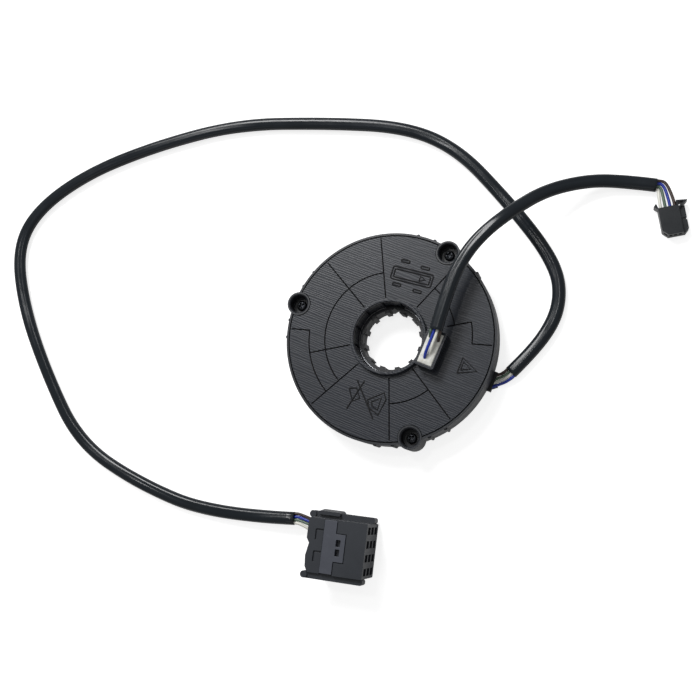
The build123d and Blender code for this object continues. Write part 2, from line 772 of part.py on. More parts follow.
# Rear wire cover: open towards the housing, with a gate for the wires and two hook slots on top
cover_front = -body12_len - slide_gap
with BuildPart() as plug12_rear_cover:
    with BuildSketch(plug12_plane.offset(0.6)):
        with BuildLine():
            Polyline(
                (cover_front, -body12_w / 2),
                (cover12_back + 2.0, -body12_w / 2),
                (cover12_back + 0.6, -body12_w / 2 + 2.5),
                (cover12_back + 0.2, -5.0),
                (cover12_back + 1.3, 0.7),
                (cover12_back, 2.8),
                (cover12_back, body12_w / 2 - 1.2),
                (cover12_back + 1.0, body12_w / 2),
                (cover_front, body12_w / 2),
                close=True,
            )
        make_face()
    extrude(amount=body12_h - 1.2)
    with BuildSketch(plug12_plane.offset(0.6 + cover12_wall)):
        with Locations(((cover_front + cover12_back + 1.3 + cover12_wall) / 2, 0)):
            Rectangle(cover_front - cover12_back - 1.3 - cover12_wall, body12_w - 2 * cover12_wall)
    extrude(amount=body12_h - 1.2 - 2 * cover12_wall, mode=Mode.SUBTRACT)
    with BuildSketch(plug12_plane.offset(gate12_low)):
        with Locations((cover12_back + 1.5, (gate12_left + gate12_right) / 2)):
            Rectangle(3.4, gate12_left - gate12_right)
    extrude(amount=gate12_high, mode=Mode.SUBTRACT)
    with BuildSketch(plug12_plane.offset(body12_h - 0.6)):
        for side, bend in ((1, 0.29), (-1, 0.11)):
            with Locations((cover_front - 3.4, side * body12_w * 0.2)):
                Rectangle(hook_wide, body12_w * 0.19)
            with Locations((cover_front - 1.7, side * body12_w * bend)):
                Rectangle(3.4, hook_wide)
    extrude(amount=-hook_deep, mode=Mode.SUBTRACT)
plug12_rear_cover.part.label = "plug12_rear_cover"
export_step(plug12_rear_cover.part, "parts/plug12_rear_cover.step")

# Lock plate on top: a bar across the housing with an arm towards the mating face
with BuildPart() as plug12_lock:
    with BuildSketch(plug12_plane.offset(lock_low)):
        with Locations((lock_bar_front - lock_bar_w / 2, 0)):
            Rectangle(lock_bar_w, body12_w - 0.8)
        with Locations(((lock_bar_front + lock_arm_front) / 2, 0)):
            Rectangle(lock_arm_front - lock_bar_front, lock_arm_w)
        with Locations(((lock_bar_front + lock_arm_front) / 2 - 0.9, 2.1)):
            Rectangle(2.0, 3.0, mode=Mode.SUBTRACT)
        with Locations(((lock_bar_front + lock_arm_front) / 2 - 0.9, -2.1)):
            Rectangle(2.0, 3.0, mode=Mode.SUBTRACT)
    extrude(amount=lock_t + 0.1)
plug12_lock.part.label = "plug12_lock"
export_step(plug12_lock.part, "parts/plug12_lock.step")

# Terminals in the four wired cavities
with BuildPart() as plug12_terminals:
    with BuildSketch(
        Plane(
            origin=local(plug12_plane, -cavity_deep, 0, 0),
            x_dir=plug12_plane.y_dir,
            z_dir=plug12_plane.x_dir,
        )
    ):
        with Locations(*plug12_spot.values()):
            Rectangle(cavity_w - 0.8, cavity_h - 1.1)
            Rectangle(cavity_w - 1.8, cavity_h - 2.1, mode=Mode.SUBTRACT)
    extrude(amount=cavity_deep * 0.8)
plug12_terminals.part.label = "plug12_terminals"
export_step(plug12_terminals.part, "parts/plug12_terminals.step")

# Four-way plug housing: body, side ledge with its notch, flared wings at the wire end
with BuildPart() as small_plug_housing:
    with BuildSketch(plug4_plane):
        with Locations((-body4_len / 2, 0)):
            Rectangle(body4_len, body4_w)
    extrude(amount=body4_h)
    with BuildSketch(plug4_plane):
        with BuildLine():
            Polyline((-body4_cut, -body4_w / 2), (0, -body4_w / 2), (0, body4_cut - body4_w / 2), close=True)
        make_face()
    extrude(amount=body4_h, mode=Mode.SUBTRACT)
    with BuildSketch(plug4_plane):
        with BuildLine():
            Polyline(
                (0, body4_w / 2 - 0.5),
                (0, body4_w / 2 + ledge_out - body4_cut * 0.75),
                (-body4_cut * 0.75, body4_w / 2 + ledge_out),
                (-body4_len + 0.4, body4_w / 2 + ledge_out),
                (-body4_len + 0.4, body4_w / 2 - 0.5),
                close=True,
            )
        make_face()
        with Locations((-body4_len / 2, body4_w / 2 + ledge_out * 0.72)):
            Rectangle(notch4_w, ledge_out * 0.9, mode=Mode.SUBTRACT)
    extrude(amount=ledge_h)
    # loop of thin wall at one rear corner, stub at the other
    with BuildSketch(plug4_plane.offset(0.8)):
        with BuildLine():
            Polyline(
                (-body4_len + 1.4, body4_w / 2 - 0.4),
                (-body4_len - 1.5, body4_w / 2 + wing_out),
                (-body4_len - wing_back, body4_w / 2 - wing_t / 2),
                (-body4_len + 0.4, body4_w / 2 - wing_t / 2),
            )
        trace(line_width=wing_t)
        with BuildLine():
            Polyline(
                (-body4_len + 0.6, -body4_w / 2 + 0.3),
                (-body4_len - 1.1, -body4_w / 2 - wing_out / 2),
                (-body4_len - 2.4, -body4_w / 2 - wing_t / 2),
                (-body4_len, -body4_w / 2 + 0.3),
                close=True,
            )
        make_face()
    extrude(amount=body4_h - 1.2)
    with BuildSketch(Plane(origin=plug4_plane.origin, x_dir=plug4_plane.y_dir, z_dir=plug4_plane.x_dir)):
        with Locations(*[(plug4_lane[c] * cavity4_pitch, body4_h * 0.55) for c in plug4_lane]):
            Rectangle(cavity4_w, cavity4_w * 1.3)
    extrude(amount=-cavity4_deep, mode=Mode.SUBTRACT)
small_plug_housing.part.label = "small_plug_housing"
export_step(small_plug_housing.part, "parts/small_plug_housing.step")

with BuildPart() as small_plug_terminals:
    with BuildSketch(
        Plane(
            origin=local(plug4_plane, -cavity4_deep, 0, 0),
            x_dir=plug4_plane.y_dir,
            z_dir=plug4_plane.x_dir,
        )
    ):
        with Locations(*[(plug4_lane[c] * cavity4_pitch, body4_h * 0.55) for c in plug4_lane]):
            Rectangle(cavity4_w - 2 * slide_gap, cavity4_w)
    extrude(amount=cavity4_deep * 0.7)
small_plug_terminals.part.label = "small_plug_terminals"
export_step(small_plug_terminals.part, "parts/small_plug_terminals.step")
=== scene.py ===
"""Steering clock spring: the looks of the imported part, as a Blender add-on run as a script.

Everything is in metres, in the part's frame: +Z up the bore's axis, the origin on the underside.
Places that are listed in millimetres become metres through MM.
"""

import math

import bmesh
import bpy
from bpy.props import FloatProperty, FloatVectorProperty, IntProperty, PointerProperty
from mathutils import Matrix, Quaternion, Vector, noise


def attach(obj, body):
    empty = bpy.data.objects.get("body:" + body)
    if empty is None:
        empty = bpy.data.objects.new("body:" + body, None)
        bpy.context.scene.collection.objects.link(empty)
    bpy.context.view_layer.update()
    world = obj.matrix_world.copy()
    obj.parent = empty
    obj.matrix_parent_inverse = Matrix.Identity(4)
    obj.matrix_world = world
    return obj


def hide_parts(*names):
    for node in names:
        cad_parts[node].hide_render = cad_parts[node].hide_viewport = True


bl_info = {
    "name": "Steering Clock Spring",
    "version": (1, 0, 0),
    "blender": (4, 5, 0),
    "location": "View3D > Sidebar > Clock Spring",
    "description": "Dresses the clock spring's moulded, metal and cable pieces and sets its studio",
    "category": "Object",
}

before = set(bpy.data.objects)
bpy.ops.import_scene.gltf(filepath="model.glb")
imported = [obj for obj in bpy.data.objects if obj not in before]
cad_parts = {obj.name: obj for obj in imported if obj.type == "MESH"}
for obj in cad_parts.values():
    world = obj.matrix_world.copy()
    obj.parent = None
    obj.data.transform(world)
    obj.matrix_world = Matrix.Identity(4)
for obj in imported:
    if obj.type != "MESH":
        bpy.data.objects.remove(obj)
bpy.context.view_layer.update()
MM = 0.001


def srgb(red, green, blue):
    """A colour as it shows on screen, 0 to 255, in the linear values that a shader takes."""
    parts = []
    for value in (red, green, blue):
        part = value / 255
        parts.append(part / 12.92 if part <= 0.04045 else ((part + 0.055) / 1.055) ** 2.4)
    return (*parts, 1.0)


# ---- places in the part's frame, in millimetres and degrees ----

FACE_TOP = 15.0
GROOVE_FLOOR = 14.55
BOSS_PITCH = 47.7
BOSS_TURNS = (157.0, 53.5, -79.0)
BOSS_FLOOR = 9.4
RECESS_TURNS = (22.0, 65.0, 40.0)

# a turned place is x, y and the turn of its own x axis
CHIMNEY = (20.6, -7.5, 66.0)
OUTLET = (47.3, -20.6, 15.0)
PLUG12 = (-10.8, -97.6, -7.5)
PLUG4 = (128.8, 42.1, -83.0)
CARD = (11.25, 28.15, -17.8)

POTTING_LOW = 14.0
POTTING_TOP = 22.8
POTTING_HALF = (7.6, 3.45)
POTTING_CROWN = 0.55

LONG_ROUTE = [
    (54.4, -17.1, 3.1), (65.0, -7.4, 3.1), (74.5, 5.3, 3.1), (77.9, 17.0, 3.1),
    (76.9, 29.2, 3.1), (69.6, 44.2, 3.1), (54.3, 66.1, 3.1), (32.9, 92.8, 3.1),
    (7.5, 107.2, 3.1), (-32.9, 113.8, 3.1), (-80.7, 118.6, 3.1), (-125.4, 112.1, 3.1),
    (-165.9, 100.8, 3.1), (-196.2, 82.9, 3.1), (-207.6, 61.5, 3.1), (-201.4, 28.8, 3.1),
    (-185.7, -7.9, 3.1), (-165.3, -43.7, 3.1), (-131.3, -65.0, 3.1), (-90.5, -80.7, 3.3),
    (-48.1, -82.6, 6.5),
]
SHORT_ROUTE = [
    (23.9, 0.2, 25.6), (28.1, 13.5, 25.9), (34.1, 28.6, 25.8), (44.0, 42.0, 25.3),
    (59.0, 53.8, 22.6), (74.1, 65.2, 13.1), (93.1, 70.4, 6.0), (109.1, 69.3, 3.6),
    (123.0, 66.3, 3.1),
]


def length_setting(name, description, default):
    """A length for the sidebar, in metres."""
    return FloatProperty(name=name, description=description, default=default, unit="LENGTH")


def colour_setting(name, description, *shown):
    """A colour for the sidebar, written as it shows on screen."""
    return FloatVectorProperty(
        name=name, description=description, subtype="COLOR", size=4, default=srgb(*shown),
    )


class ClockSpringSizes(bpy.types.PropertyGroup):
    """Sizes that change how the dressed pieces look, not how large the part is."""

    edge_round: length_setting(
        "Edge rounding", "Radius of the small round on moulded edges", 0.00014)
    sleeve_width: length_setting("Sleeve width", "Width of the flattened cord sleeve", 0.0062)
    sleeve_height: length_setting("Sleeve height", "Height of the flattened cord sleeve", 0.0048)
    sleeve_wall: length_setting(
        "Sleeve wall", "Wall of the cord sleeve, seen at its open ends", 0.0005)
    wire_radius: length_setting("Wire radius", "Radius of one insulated wire", 0.0007)
    mark_radius: length_setting("Mark line", "Half the width of the raised lines", 0.00036)
    wire_sides: IntProperty(
        name="Wire sides", description="Sides of one insulated wire", default=16, min=6, max=48,
    )


class ClockSpringColours(bpy.types.PropertyGroup):
    """Colours of the moulded plastics, the sleeve and the wires."""

    cover: colour_setting("Face disc", "Plastic of the turning face disc", 30, 34, 42)
    case: colour_setting("Case ring", "Plastic of the outer ring and its bosses", 27, 30, 36)
    base: colour_setting("Base", "Plastic of the fixed base and hub sleeve", 26, 28, 33)
    sleeve: colour_setting("Sleeve", "Soft plastic of the cord sleeves", 25, 30, 35)
    plug12: colour_setting("Large plug", "Plastic of the twelve-way plug", 34, 38, 45)
    plug12_lock: colour_setting(
        "Large plug lock", "Plastic of the twelve-way plug's lock plate", 64, 67, 76)
    plug4: colour_setting("Small plug", "Plastic of the four-way plug", 12, 18, 24)
    wire_brown: colour_setting("Brown wire", "Insulation of the brown wire", 58, 44, 38)
    wire_blue: colour_setting("Blue wire", "Insulation of the blue wire", 24, 48, 150)
    wire_white: colour_setting("White wire", "Insulation of the white wire", 226, 225, 216)
    wire_green: colour_setting("Green wire", "Insulation of the green wire", 84, 104, 88)


# ---- small helpers ----


def link(obj):
    """Puts a new object into the scene."""
    bpy.context.scene.collection.objects.link(obj)
    return obj


def mesh_piece(name, verts, faces, material, smooth_angle=40.0):
    """A finished mesh object at the origin, shaded smooth up to an angle in degrees."""
    mesh = bpy.data.meshes.new(name)
    mesh.from_pydata([tuple(v) for v in verts], [], [tuple(f) for f in faces])
    mesh.validate()
    finish_mesh(mesh, smooth_angle)
    if material is not None:
        mesh.materials.append(material)
    return link(bpy.data.objects.new(name, mesh))


def finish_mesh(mesh, smooth_angle):
    """Smooth shading with the edges over an angle kept sharp."""
    for polygon in mesh.polygons:
        polygon.use_smooth = True
    mesh.set_sharp_from_angle(angle=math.radians(smooth_angle))
    mesh.update()


def worked_out(obj):
    """An object's mesh as its curve or its modifiers make it. The object goes."""
    bpy.context.view_layer.update()
    evaluated = obj.evaluated_get(bpy.context.evaluated_depsgraph_get())
    mesh = bpy.data.meshes.new_from_object(evaluated)
    bpy.data.objects.remove(obj)
    return mesh


def baked(obj, name, smooth_angle=40.0):
    """The object with its modifiers worked out, as a plain mesh object of its own.

    Without an angle the shading stays as the modifiers left it.
    """
    mesh = worked_out(obj)
    mesh.name = name
    if smooth_angle is not None:
        finish_mesh(mesh, smooth_angle)
    return link(bpy.data.objects.new(name, mesh))


def turned_outward(piece):
    """The same closed piece with all its faces to the outside."""
    bm = bmesh.new()
    bm.from_mesh(piece.data)
    bmesh.ops.recalc_face_normals(bm, faces=bm.faces)
    bm.to_mesh(piece.data)
    bm.free()
    return piece


def rounded(obj, width, angle):
    """A bevel of this width on the edges that turn by more than an angle in degrees."""
    bevel = obj.modifiers.new("rounded edges", "BEVEL")
    bevel.width = width
    bevel.segments = 2
    bevel.limit_method = "ANGLE"
    bevel.angle_limit = math.radians(angle)
    return bevel


WELD_GAP = 2e-6
FLAT_ANGLE = 0.6
ROUNDED_ANGLE = 34.0


def softened_copy(node, name, width, material):
    """A merged copy of a CAD node's mesh with small rounds on its edges."""
    bm = bmesh.new()
    bm.from_mesh(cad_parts[node].data)
    bmesh.ops.remove_doubles(bm, verts=bm.verts, dist=WELD_GAP)
    bmesh.ops.dissolve_limit(
        bm, angle_limit=math.radians(FLAT_ANGLE), verts=bm.verts, edges=bm.edges,
    )
    verts = [v.co.copy() for v in bm.verts]
    faces = [[v.index for v in f.verts] for f in bm.faces]
    bm.free()
    obj = mesh_piece(name + "_plain", verts, faces, material)
    rounded(obj, width, ROUNDED_ANGLE).miter_outer = "MITER_ARC"
    level = obj.modifiers.new("flat faces stay flat", "WEIGHTED_NORMAL")
    level.weight = 100
    level.keep_sharp = True
    return baked(obj, name, None)


def new_curve(name, paths, resolution, kind="NURBS"):
    """A curve object with one open spline through each list of millimetre control points."""
    curve = bpy.data.curves.new(name, "CURVE")
    curve.dimensions = "3D"
    curve.resolution_u = resolution
    for points in paths:
        spline = curve.splines.new(kind)
        spline.points.add(len(points) - 1)
        for point, (x, y, z) in zip(spline.points, points):
            point.co = (x * MM, y * MM, z * MM, 1.0)
        spline.order_u = 3
        spline.use_endpoint_u = True
    return link(bpy.data.objects.new(name, curve))


def smooth_line(points, resolution):
    """Points along the smooth curve that has the given points as its control points."""
    mesh = worked_out(new_curve("guide", [points], resolution))
    line = [v.co.copy() for v in mesh.vertices]
    bpy.data.meshes.remove(mesh)
    return line


def point_at(place, x, y, z):
    """A point given in a turned place's own axes, in the part's frame, in millimetres."""
    px, py, turn = place
    a = math.radians(turn)
    return (px + x * math.cos(a) - y * math.sin(a), py + x * math.sin(a) + y * math.cos(a), z)


# ---- shader node groups ----


def feed(tree, node, sockets):
    """Gives a node's inputs their values or their links from other nodes' outputs."""
    for key, value in sockets.items():
        if isinstance(value, bpy.types.NodeSocket):
            tree.links.new(value, node.inputs[key])
        else:
            node.inputs[key].default_value = value


def add_node(tree, kind, sockets=None, **values):
    """A node with its settings and its inputs."""
    node = tree.nodes.new(kind)
    for key, value in values.items():
        setattr(node, key, value)
    feed(tree, node, sockets or {})
    return node


def maths(tree, operation, *values):
    """The result of one Math node."""
    return add_node(
        tree, "ShaderNodeMath", dict(enumerate(values)), operation=operation,
    ).outputs[0]


def new_group(name, numbers, results):
    """An empty shader node group: a Vector and named numbers go in, named numbers come out."""
    tree = bpy.data.node_groups.new(name, "ShaderNodeTree")
    tree.interface.new_socket("Vector", in_out="INPUT", socket_type="NodeSocketVector")
    for label, default in numbers.items():
        socket = tree.interface.new_socket(label, in_out="INPUT", socket_type="NodeSocketFloat")
        socket.default_value = default
    for label in results:
        tree.interface.new_socket(label, in_out="OUTPUT", socket_type="NodeSocketFloat")
    return tree, tree.nodes.new("NodeGroupInput").outputs, tree.nodes.new("NodeGroupOutput")


def noise_of(tree, place, scale, detail, rough):
    """The value of a noise texture."""
    return add_node(tree, "ShaderNodeTexNoise", {
        "Vector": place, "Scale": scale, "Detail": detail, "Roughness": rough,
    }).outputs["Fac"]


def moulded_grain_group():
    """Spark-eroded mould texture: a fine even height and a soft large blotch of tone."""
    tree, given, out = new_group(
        "Moulded grain", {"Grain Scale": 2600.0, "Blotch Scale": 60.0}, ("Height", "Blotch"),
    )
    place, scale = given["Vector"], given["Grain Scale"]
    pits = add_node(tree, "ShaderNodeTexVoronoi", {"Vector": place, "Scale": scale})
    fine = noise_of(tree, place, scale, 3.0, 0.6)
    feed(tree, out, {
        "Height": maths(tree, "ADD", fine, pits.outputs["Distance"]),
        "Blotch": noise_of(tree, place, given["Blotch Scale"], 4.0, 0.55),
    })
    return tree


# a wave texture's period is this over its scale
WAVE_PERIOD = 0.314


def flow_lines_group():
    """Parallel flow marks of a moulding: long thin streaks that run one way over the surface."""
    tree, given, out = new_group(
        "Flow lines", {"Spacing": 0.00105, "Stretch": 9.0}, ("Height",),
    )
    scale = maths(tree, "DIVIDE", 1.0, given["Spacing"])
    parts = add_node(tree, "ShaderNodeSeparateXYZ", {"Vector": given["Vector"]}).outputs
    joined = add_node(tree, "ShaderNodeCombineXYZ", {
        "X": maths(tree, "DIVIDE", parts["X"], given["Stretch"]), "Y": parts["Y"],
    }).outputs[0]
    streak = noise_of(tree, joined, scale, 3.0, 0.7)
    wave = add_node(tree, "ShaderNodeTexWave", {
        "Vector": joined, "Scale": maths(tree, "MULTIPLY", scale, WAVE_PERIOD),
        "Distortion": 7.0, "Detail": 3.0, "Detail Scale": 0.9,
    }, bands_direction="Y")
    ramp = add_node(tree, "ShaderNodeMapRange", {
        "Value": maths(tree, "MULTIPLY_ADD", wave.outputs["Fac"], 0.45, streak),
        "From Min": 0.45, "From Max": 1.0,
    }, interpolation_type="SMOOTHSTEP")
    feed(tree, out, {"Height": ramp.outputs["Result"]})
    return tree


def handling_group():
    """Light scuffs and dust: thin scratches and pale specks, as a mask from 0 to 1."""
    tree, given, out = new_group("Handling marks", {"Scale": 240.0, "Amount": 0.3}, ("Mask",))
    cut = add_node(tree, "ShaderNodeMapRange", {
        "Value": noise_of(tree, given["Vector"], given["Scale"], 6.0, 0.75),
        "From Min": 0.52, "From Max": 0.78, "To Max": given["Amount"],
    }, interpolation_type="SMOOTHSTEP")
    feed(tree, out, {"Mask": cut.outputs["Result"]})
    return tree


GROUP_MAKERS = {"grain": moulded_grain_group, "flow": flow_lines_group, "marks": handling_group}
GROUPS = {}


def group_of(tree, name, sockets):
    """The outputs of a shared shader node group, placed in a material with its own values."""
    if name not in GROUPS:
        GROUPS[name] = GROUP_MAKERS[name]()
    return add_node(tree, "ShaderNodeGroup", sockets, node_tree=GROUPS[name]).outputs


# ---- materials ----


def emptied_tree(owner, output):
    """The cleared shader tree of a material or a world, with a new output node."""
    owner.use_nodes = True
    tree = owner.node_tree
    tree.nodes.clear()
    return tree, tree.nodes.new(output)


def new_material(name):
    """An empty material with its Principled shader and Object coordinates."""
    material = bpy.data.materials.new(name)
    tree, out = emptied_tree(material, "ShaderNodeOutputMaterial")
    shader = tree.nodes.new("ShaderNodeBsdfPrincipled")
    feed(tree, out, {"Surface": shader.outputs["BSDF"]})
    return material, tree, shader, tree.nodes.new("ShaderNodeTexCoord").outputs["Object"]


def mixed(tree, factor, first, second):
    """Two colours mixed by a factor."""
    return add_node(
        tree, "ShaderNodeMix", {0: factor, 6: first, 7: second}, data_type="RGBA",
    ).outputs[2]


def ranged(tree, value, low, high, start=0.3, end=0.7):
    """A value that moves between two limits as another goes from start to end."""
    return add_node(tree, "ShaderNodeMapRange", {
        "Value": value, "From Min": start, "From Max": end, "To Min": low, "To Max": high,
    }).outputs["Result"]


def bumped(tree, height, distance, strength, **more):
    """The normal of a surface with a relief of this height in metres."""
    return add_node(tree, "ShaderNodeBump", {
        "Height": height, "Distance": distance, "Strength": strength, **more,
    }).outputs["Normal"]


def scaled(colour, factor):
    """A colour made lighter or darker."""
    return (*(min(1.0, c * factor) for c in colour[:3]), 1.0)


def surface(name, tones, rough, scales, relief, marks=None, constants=None):
    """What most finishes share: blotches of tone and sheen, marks of handling, and a relief.

    scales: of the grain and of its blotches. relief: which of them it follows, its height in
    metres and its strength. marks: their scale, amount and colour.
    """
    material, tree, shader, coords = new_material(name)
    grained = group_of(tree, "grain", {
        "Vector": coords, "Grain Scale": scales[0], "Blotch Scale": scales[1],
    })
    base = mixed(tree, grained["Blotch"], *tones)
    if marks:
        scale, amount, colour = marks
        marked = group_of(tree, "marks", {"Vector": coords, "Scale": scale, "Amount": amount})
        base = mixed(tree, marked["Mask"], base, colour)
    follows, distance, strength = relief
    feed(tree, shader, {
        "Base Color": base,
        "Roughness": ranged(tree, grained["Blotch"], *rough),
        "Normal": bumped(tree, grained[follows], distance, strength),
        **(constants or {}),
    })
    return material


def moulded_plastic(name, colour, rough, grain=2600.0, tint=0.12):
    """Moulded engineering plastic: grain in the surface, blotches of sheen, faint marks."""
    return surface(
        name, (scaled(colour, 1 - tint), scaled(colour, 1 + tint)), (rough - 0.07, rough + 0.07),
        (grain, 60.0), ("Height", 0.00002, 0.6), (240.0, 0.25, scaled(colour, 2.1)),
    )


def sleeve_vinyl(name, colour):
    """Soft vinyl sleeving: glossy, with drawn-out waves and dull rubbed patches."""
    return surface(
        name, (scaled(colour, 0.8), scaled(colour, 1.2)), (0.17, 0.27), (900.0, 90.0),
        ("Blotch", 0.0003, 0.25), (330.0, 0.22, scaled(colour, 2.0)),
        {"Specular IOR Level": 0.3},
    )


def wire_insulation(name, colour):
    """Thin glossy wire insulation with a little rub."""
    return surface(
        name, (scaled(colour, 0.82), scaled(colour, 1.15)), (0.28, 0.42), (1800.0, 260.0),
        ("Height", 0.00001, 0.4),
    )


def cast_compound(name, colour):
    """Pale casting compound: greyer and yellower in places, with small pits."""
    return surface(
        name, (srgb(190, 190, 180), colour), (0.34, 0.5), (1500.0, 330.0),
        ("Blotch", 0.0004, 0.5), (520.0, 0.8, srgb(150, 148, 138)),
        {"Subsurface Weight": 0.08, "Subsurface Radius": (0.0008, 0.0007, 0.0006)},
    )


def plated_metal(name, colour, rough):
    """Metal with small scratches: blackened screws, the spring clip, brass terminals."""
    return surface(
        name, (scaled(colour, 0.75), scaled(colour, 1.2)), (rough - 0.08, rough + 0.1),
        (3200.0, 420.0), ("Height", 0.00001, 0.4), (900.0, 0.3, scaled(colour, 1.8)),
        {"Metallic": 1.0},
    )


FLOW_TURN = 24.0


def face_plastic(name, colour):
    """The face disc's plastic: the grain, flow lines that fall to the right, and painted shade in
    the grooves.
    """
    material, tree, shader, coords = new_material(name)
    slanted = add_node(tree, "ShaderNodeMapping", {
        "Vector": coords, "Rotation": (0.0, 0.0, math.radians(FLOW_TURN)),
    }).outputs["Vector"]
    flow = group_of(tree, "flow", {"Vector": slanted})["Height"]
    grained = group_of(tree, "grain", {
        "Vector": coords, "Grain Scale": 2200.0, "Blotch Scale": 26.0,
    })
    marked = group_of(tree, "marks", {"Vector": coords, "Scale": 190.0, "Amount": 0.16})
    # the tone between the lines changes slowly over the face
    faded = mixed(tree, grained["Blotch"], scaled(colour, 0.5), scaled(colour, 1.05))
    lined = mixed(tree, flow, faded, scaled(colour, 1.2))
    worn = mixed(tree, marked["Mask"], lined, scaled(colour, 1.9))
    # the moulded grooves lie below the face; their near-black colour is painted shade of their
    # depth
    height = add_node(tree, "ShaderNodeSeparateXYZ", {"Vector": coords}).outputs["Z"]
    below = ranged(tree, height, 1.0, 0.0, (GROOVE_FLOOR + 0.28) * MM, (FACE_TOP - 0.015) * MM)
    above = ranged(tree, height, 0.0, 1.0, (GROOVE_FLOOR - 0.5) * MM, (GROOVE_FLOOR - 0.2) * MM)
    groove_painted_shade = maths(tree, "MULTIPLY", below, above)
    low = bumped(tree, flow, 0.00005, 0.7)
    feed(tree, shader, {
        "Base Color": mixed(tree, groove_painted_shade, worn, scaled(colour, 0.06)),
        "Roughness": maths(tree, "MAXIMUM", ranged(tree, flow, 0.46, 0.32, 0.0, 1.0), groove_painted_shade),
        "Specular IOR Level": 0.42,
        "Normal": bumped(tree, grained["Height"], 0.00002, 0.5, Normal=low),
    })
    return material


COLOURS = ("brown", "blue", "green", "white")
# a finish: its maker, its colour or the name of a colour setting, and the maker's other values,
# which are roughness, scale of the grain and strength of the blotches
FINISHES = {
    "cover_plastic": (face_plastic, "cover"),
    "case_plastic": (moulded_plastic, "case", 0.4),
    "base_plastic": (moulded_plastic, "base", 0.4),
    # the near-black of the sign lines is painted shade along the raised lines
    "sign_plastic": (moulded_plastic, srgb(9, 10, 13), 0.8, 1700.0),
    "block_plastic": (moulded_plastic, srgb(214, 208, 190), 0.5),
    "slip_film": (moulded_plastic, srgb(202, 197, 182), 0.3, 2600.0, 0.05),
    "flat_cable": (moulded_plastic, srgb(178, 150, 110), 0.28, 2600.0, 0.2),
    "plug12_plastic": (moulded_plastic, "plug12", 0.52, 1700.0),
    "plug12_lock_plastic": (moulded_plastic, "plug12_lock", 0.48, 1500.0),
    "plug4_plastic": (moulded_plastic, "plug4", 0.38),
    "screw_steel": (plated_metal, srgb(62, 64, 68), 0.46),
    "clip_steel": (plated_metal, srgb(150, 152, 156), 0.3),
    "terminal_brass": (plated_metal, srgb(196, 168, 98), 0.28),
    "potting": (cast_compound, srgb(240, 240, 236)),
    "sleeve_pvc": (sleeve_vinyl, "sleeve"),
    **{f"wire_{colour}": (wire_insulation, f"wire_{colour}") for colour in COLOURS},
}
MATERIALS = {}


def finish_of(name):
    """A material of this part by name, made the first time it is asked for."""
    if name not in MATERIALS:
        maker, colour, *values = FINISHES[name]
        if isinstance(colour, str):
            colour = tuple(getattr(bpy.context.scene.clock_spring_colours, colour))
        MATERIALS[name] = maker(name, colour, *values)
    return MATERIALS[name]


def placed(piece, body, slot, *nodes):
    """Rides a piece on a body and lets it stand for CAD nodes. The name of its finish is not used.
    """
    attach(piece, body)
    if nodes:
        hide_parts(*nodes)
    return piece


# ---- geometry node trees ----


def new_geometry_tree(name, inputs):
    """A geometry tree with geometry each way, named inputs (name, kind, default), a material."""
    tree = bpy.data.node_groups.new(name, "GeometryNodeTree")
    tree.interface.new_socket("Geometry", in_out="INPUT", socket_type="NodeSocketGeometry")
    sockets = {}
    for label, kind, default in (*inputs, ("Material", "NodeSocketMaterial", None)):
        socket = tree.interface.new_socket(label, in_out="INPUT", socket_type=kind)
        if default is not None:
            socket.default_value = default
        sockets[label] = socket.identifier
    tree.interface.new_socket("Geometry", in_out="OUTPUT", socket_type="NodeSocketGeometry")
    return tree, tree.nodes.new("NodeGroupInput"), tree.nodes.new("NodeGroupOutput"), sockets


def ended(tree, inp, out, geometry):
    """The last two nodes of every tree here: real geometry, then the material."""
    real = add_node(tree, "GeometryNodeRealizeInstances", {"Geometry": geometry})
    finish = add_node(tree, "GeometryNodeSetMaterial", {
        "Geometry": real.outputs["Geometry"], "Material": inp.outputs["Material"],
    })
    tree.links.new(finish.outputs["Geometry"], out.inputs["Geometry"])


def strand_tree():
    """A round strand with closed ends along every path of a curve."""
    tree, inp, out, sockets = new_geometry_tree("Round strand", [
        ("Radius", "NodeSocketFloat", 0.0007),
        ("Sides", "NodeSocketInt", 16),
    ])
    ring = add_node(tree, "GeometryNodeCurvePrimitiveCircle", {
        "Resolution": inp.outputs["Sides"], "Radius": inp.outputs["Radius"],
    })
    tube = add_node(tree, "GeometryNodeCurveToMesh", {
        "Curve": inp.outputs["Geometry"], "Profile Curve": ring.outputs["Curve"], "Fill Caps": True,
    })
    ended(tree, inp, out, tube.outputs["Mesh"])
    return tree, sockets


def screw_tree(screw):
    """One screw on every point, turned about the vertical by the point's own angle."""
    tree, inp, out, sockets = new_geometry_tree("Screws on points", [
        ("Screw", "NodeSocketObject", screw),
    ])
    shape = add_node(tree, "GeometryNodeObjectInfo", {"Object": inp.outputs["Screw"]})
    turn = add_node(tree, "GeometryNodeInputNamedAttribute", {"Name": "turn"}, data_type="FLOAT")
    spin = add_node(tree, "ShaderNodeCombineXYZ", {"Z": turn.outputs["Attribute"]})
    placed_on = add_node(tree, "GeometryNodeInstanceOnPoints", {
        "Points": inp.outputs["Geometry"],
        "Instance": shape.outputs["Geometry"],
        "Rotation": spin.outputs["Vector"],
    })
    ended(tree, inp, out, placed_on.outputs["Instances"])
    return tree, sockets


def shaped(obj, name, tree, values, smooth_angle=40.0):
    """The plain mesh that a geometry tree makes of an object. The values go by identifiers."""
    modifier = obj.modifiers.new("shape", "NODES")
    modifier.node_group = tree
    for identifier, value in values.items():
        modifier[identifier] = value
    return baked(obj, name, smooth_angle)


TREES = {}


def strands(name, paths, radius, sides, material, kind="NURBS"):
    """A mesh piece of round strands along millimetre control points."""
    if "strand" not in TREES:
        TREES["strand"] = strand_tree()
    tree, sockets = TREES["strand"]
    return shaped(new_curve(name + "_paths", paths, 10, kind), name, tree, {
        sockets["Radius"]: radius, sockets["Sides"]: sides, sockets["Material"]: material,
    }, 60.0)


# ---- the cords ----

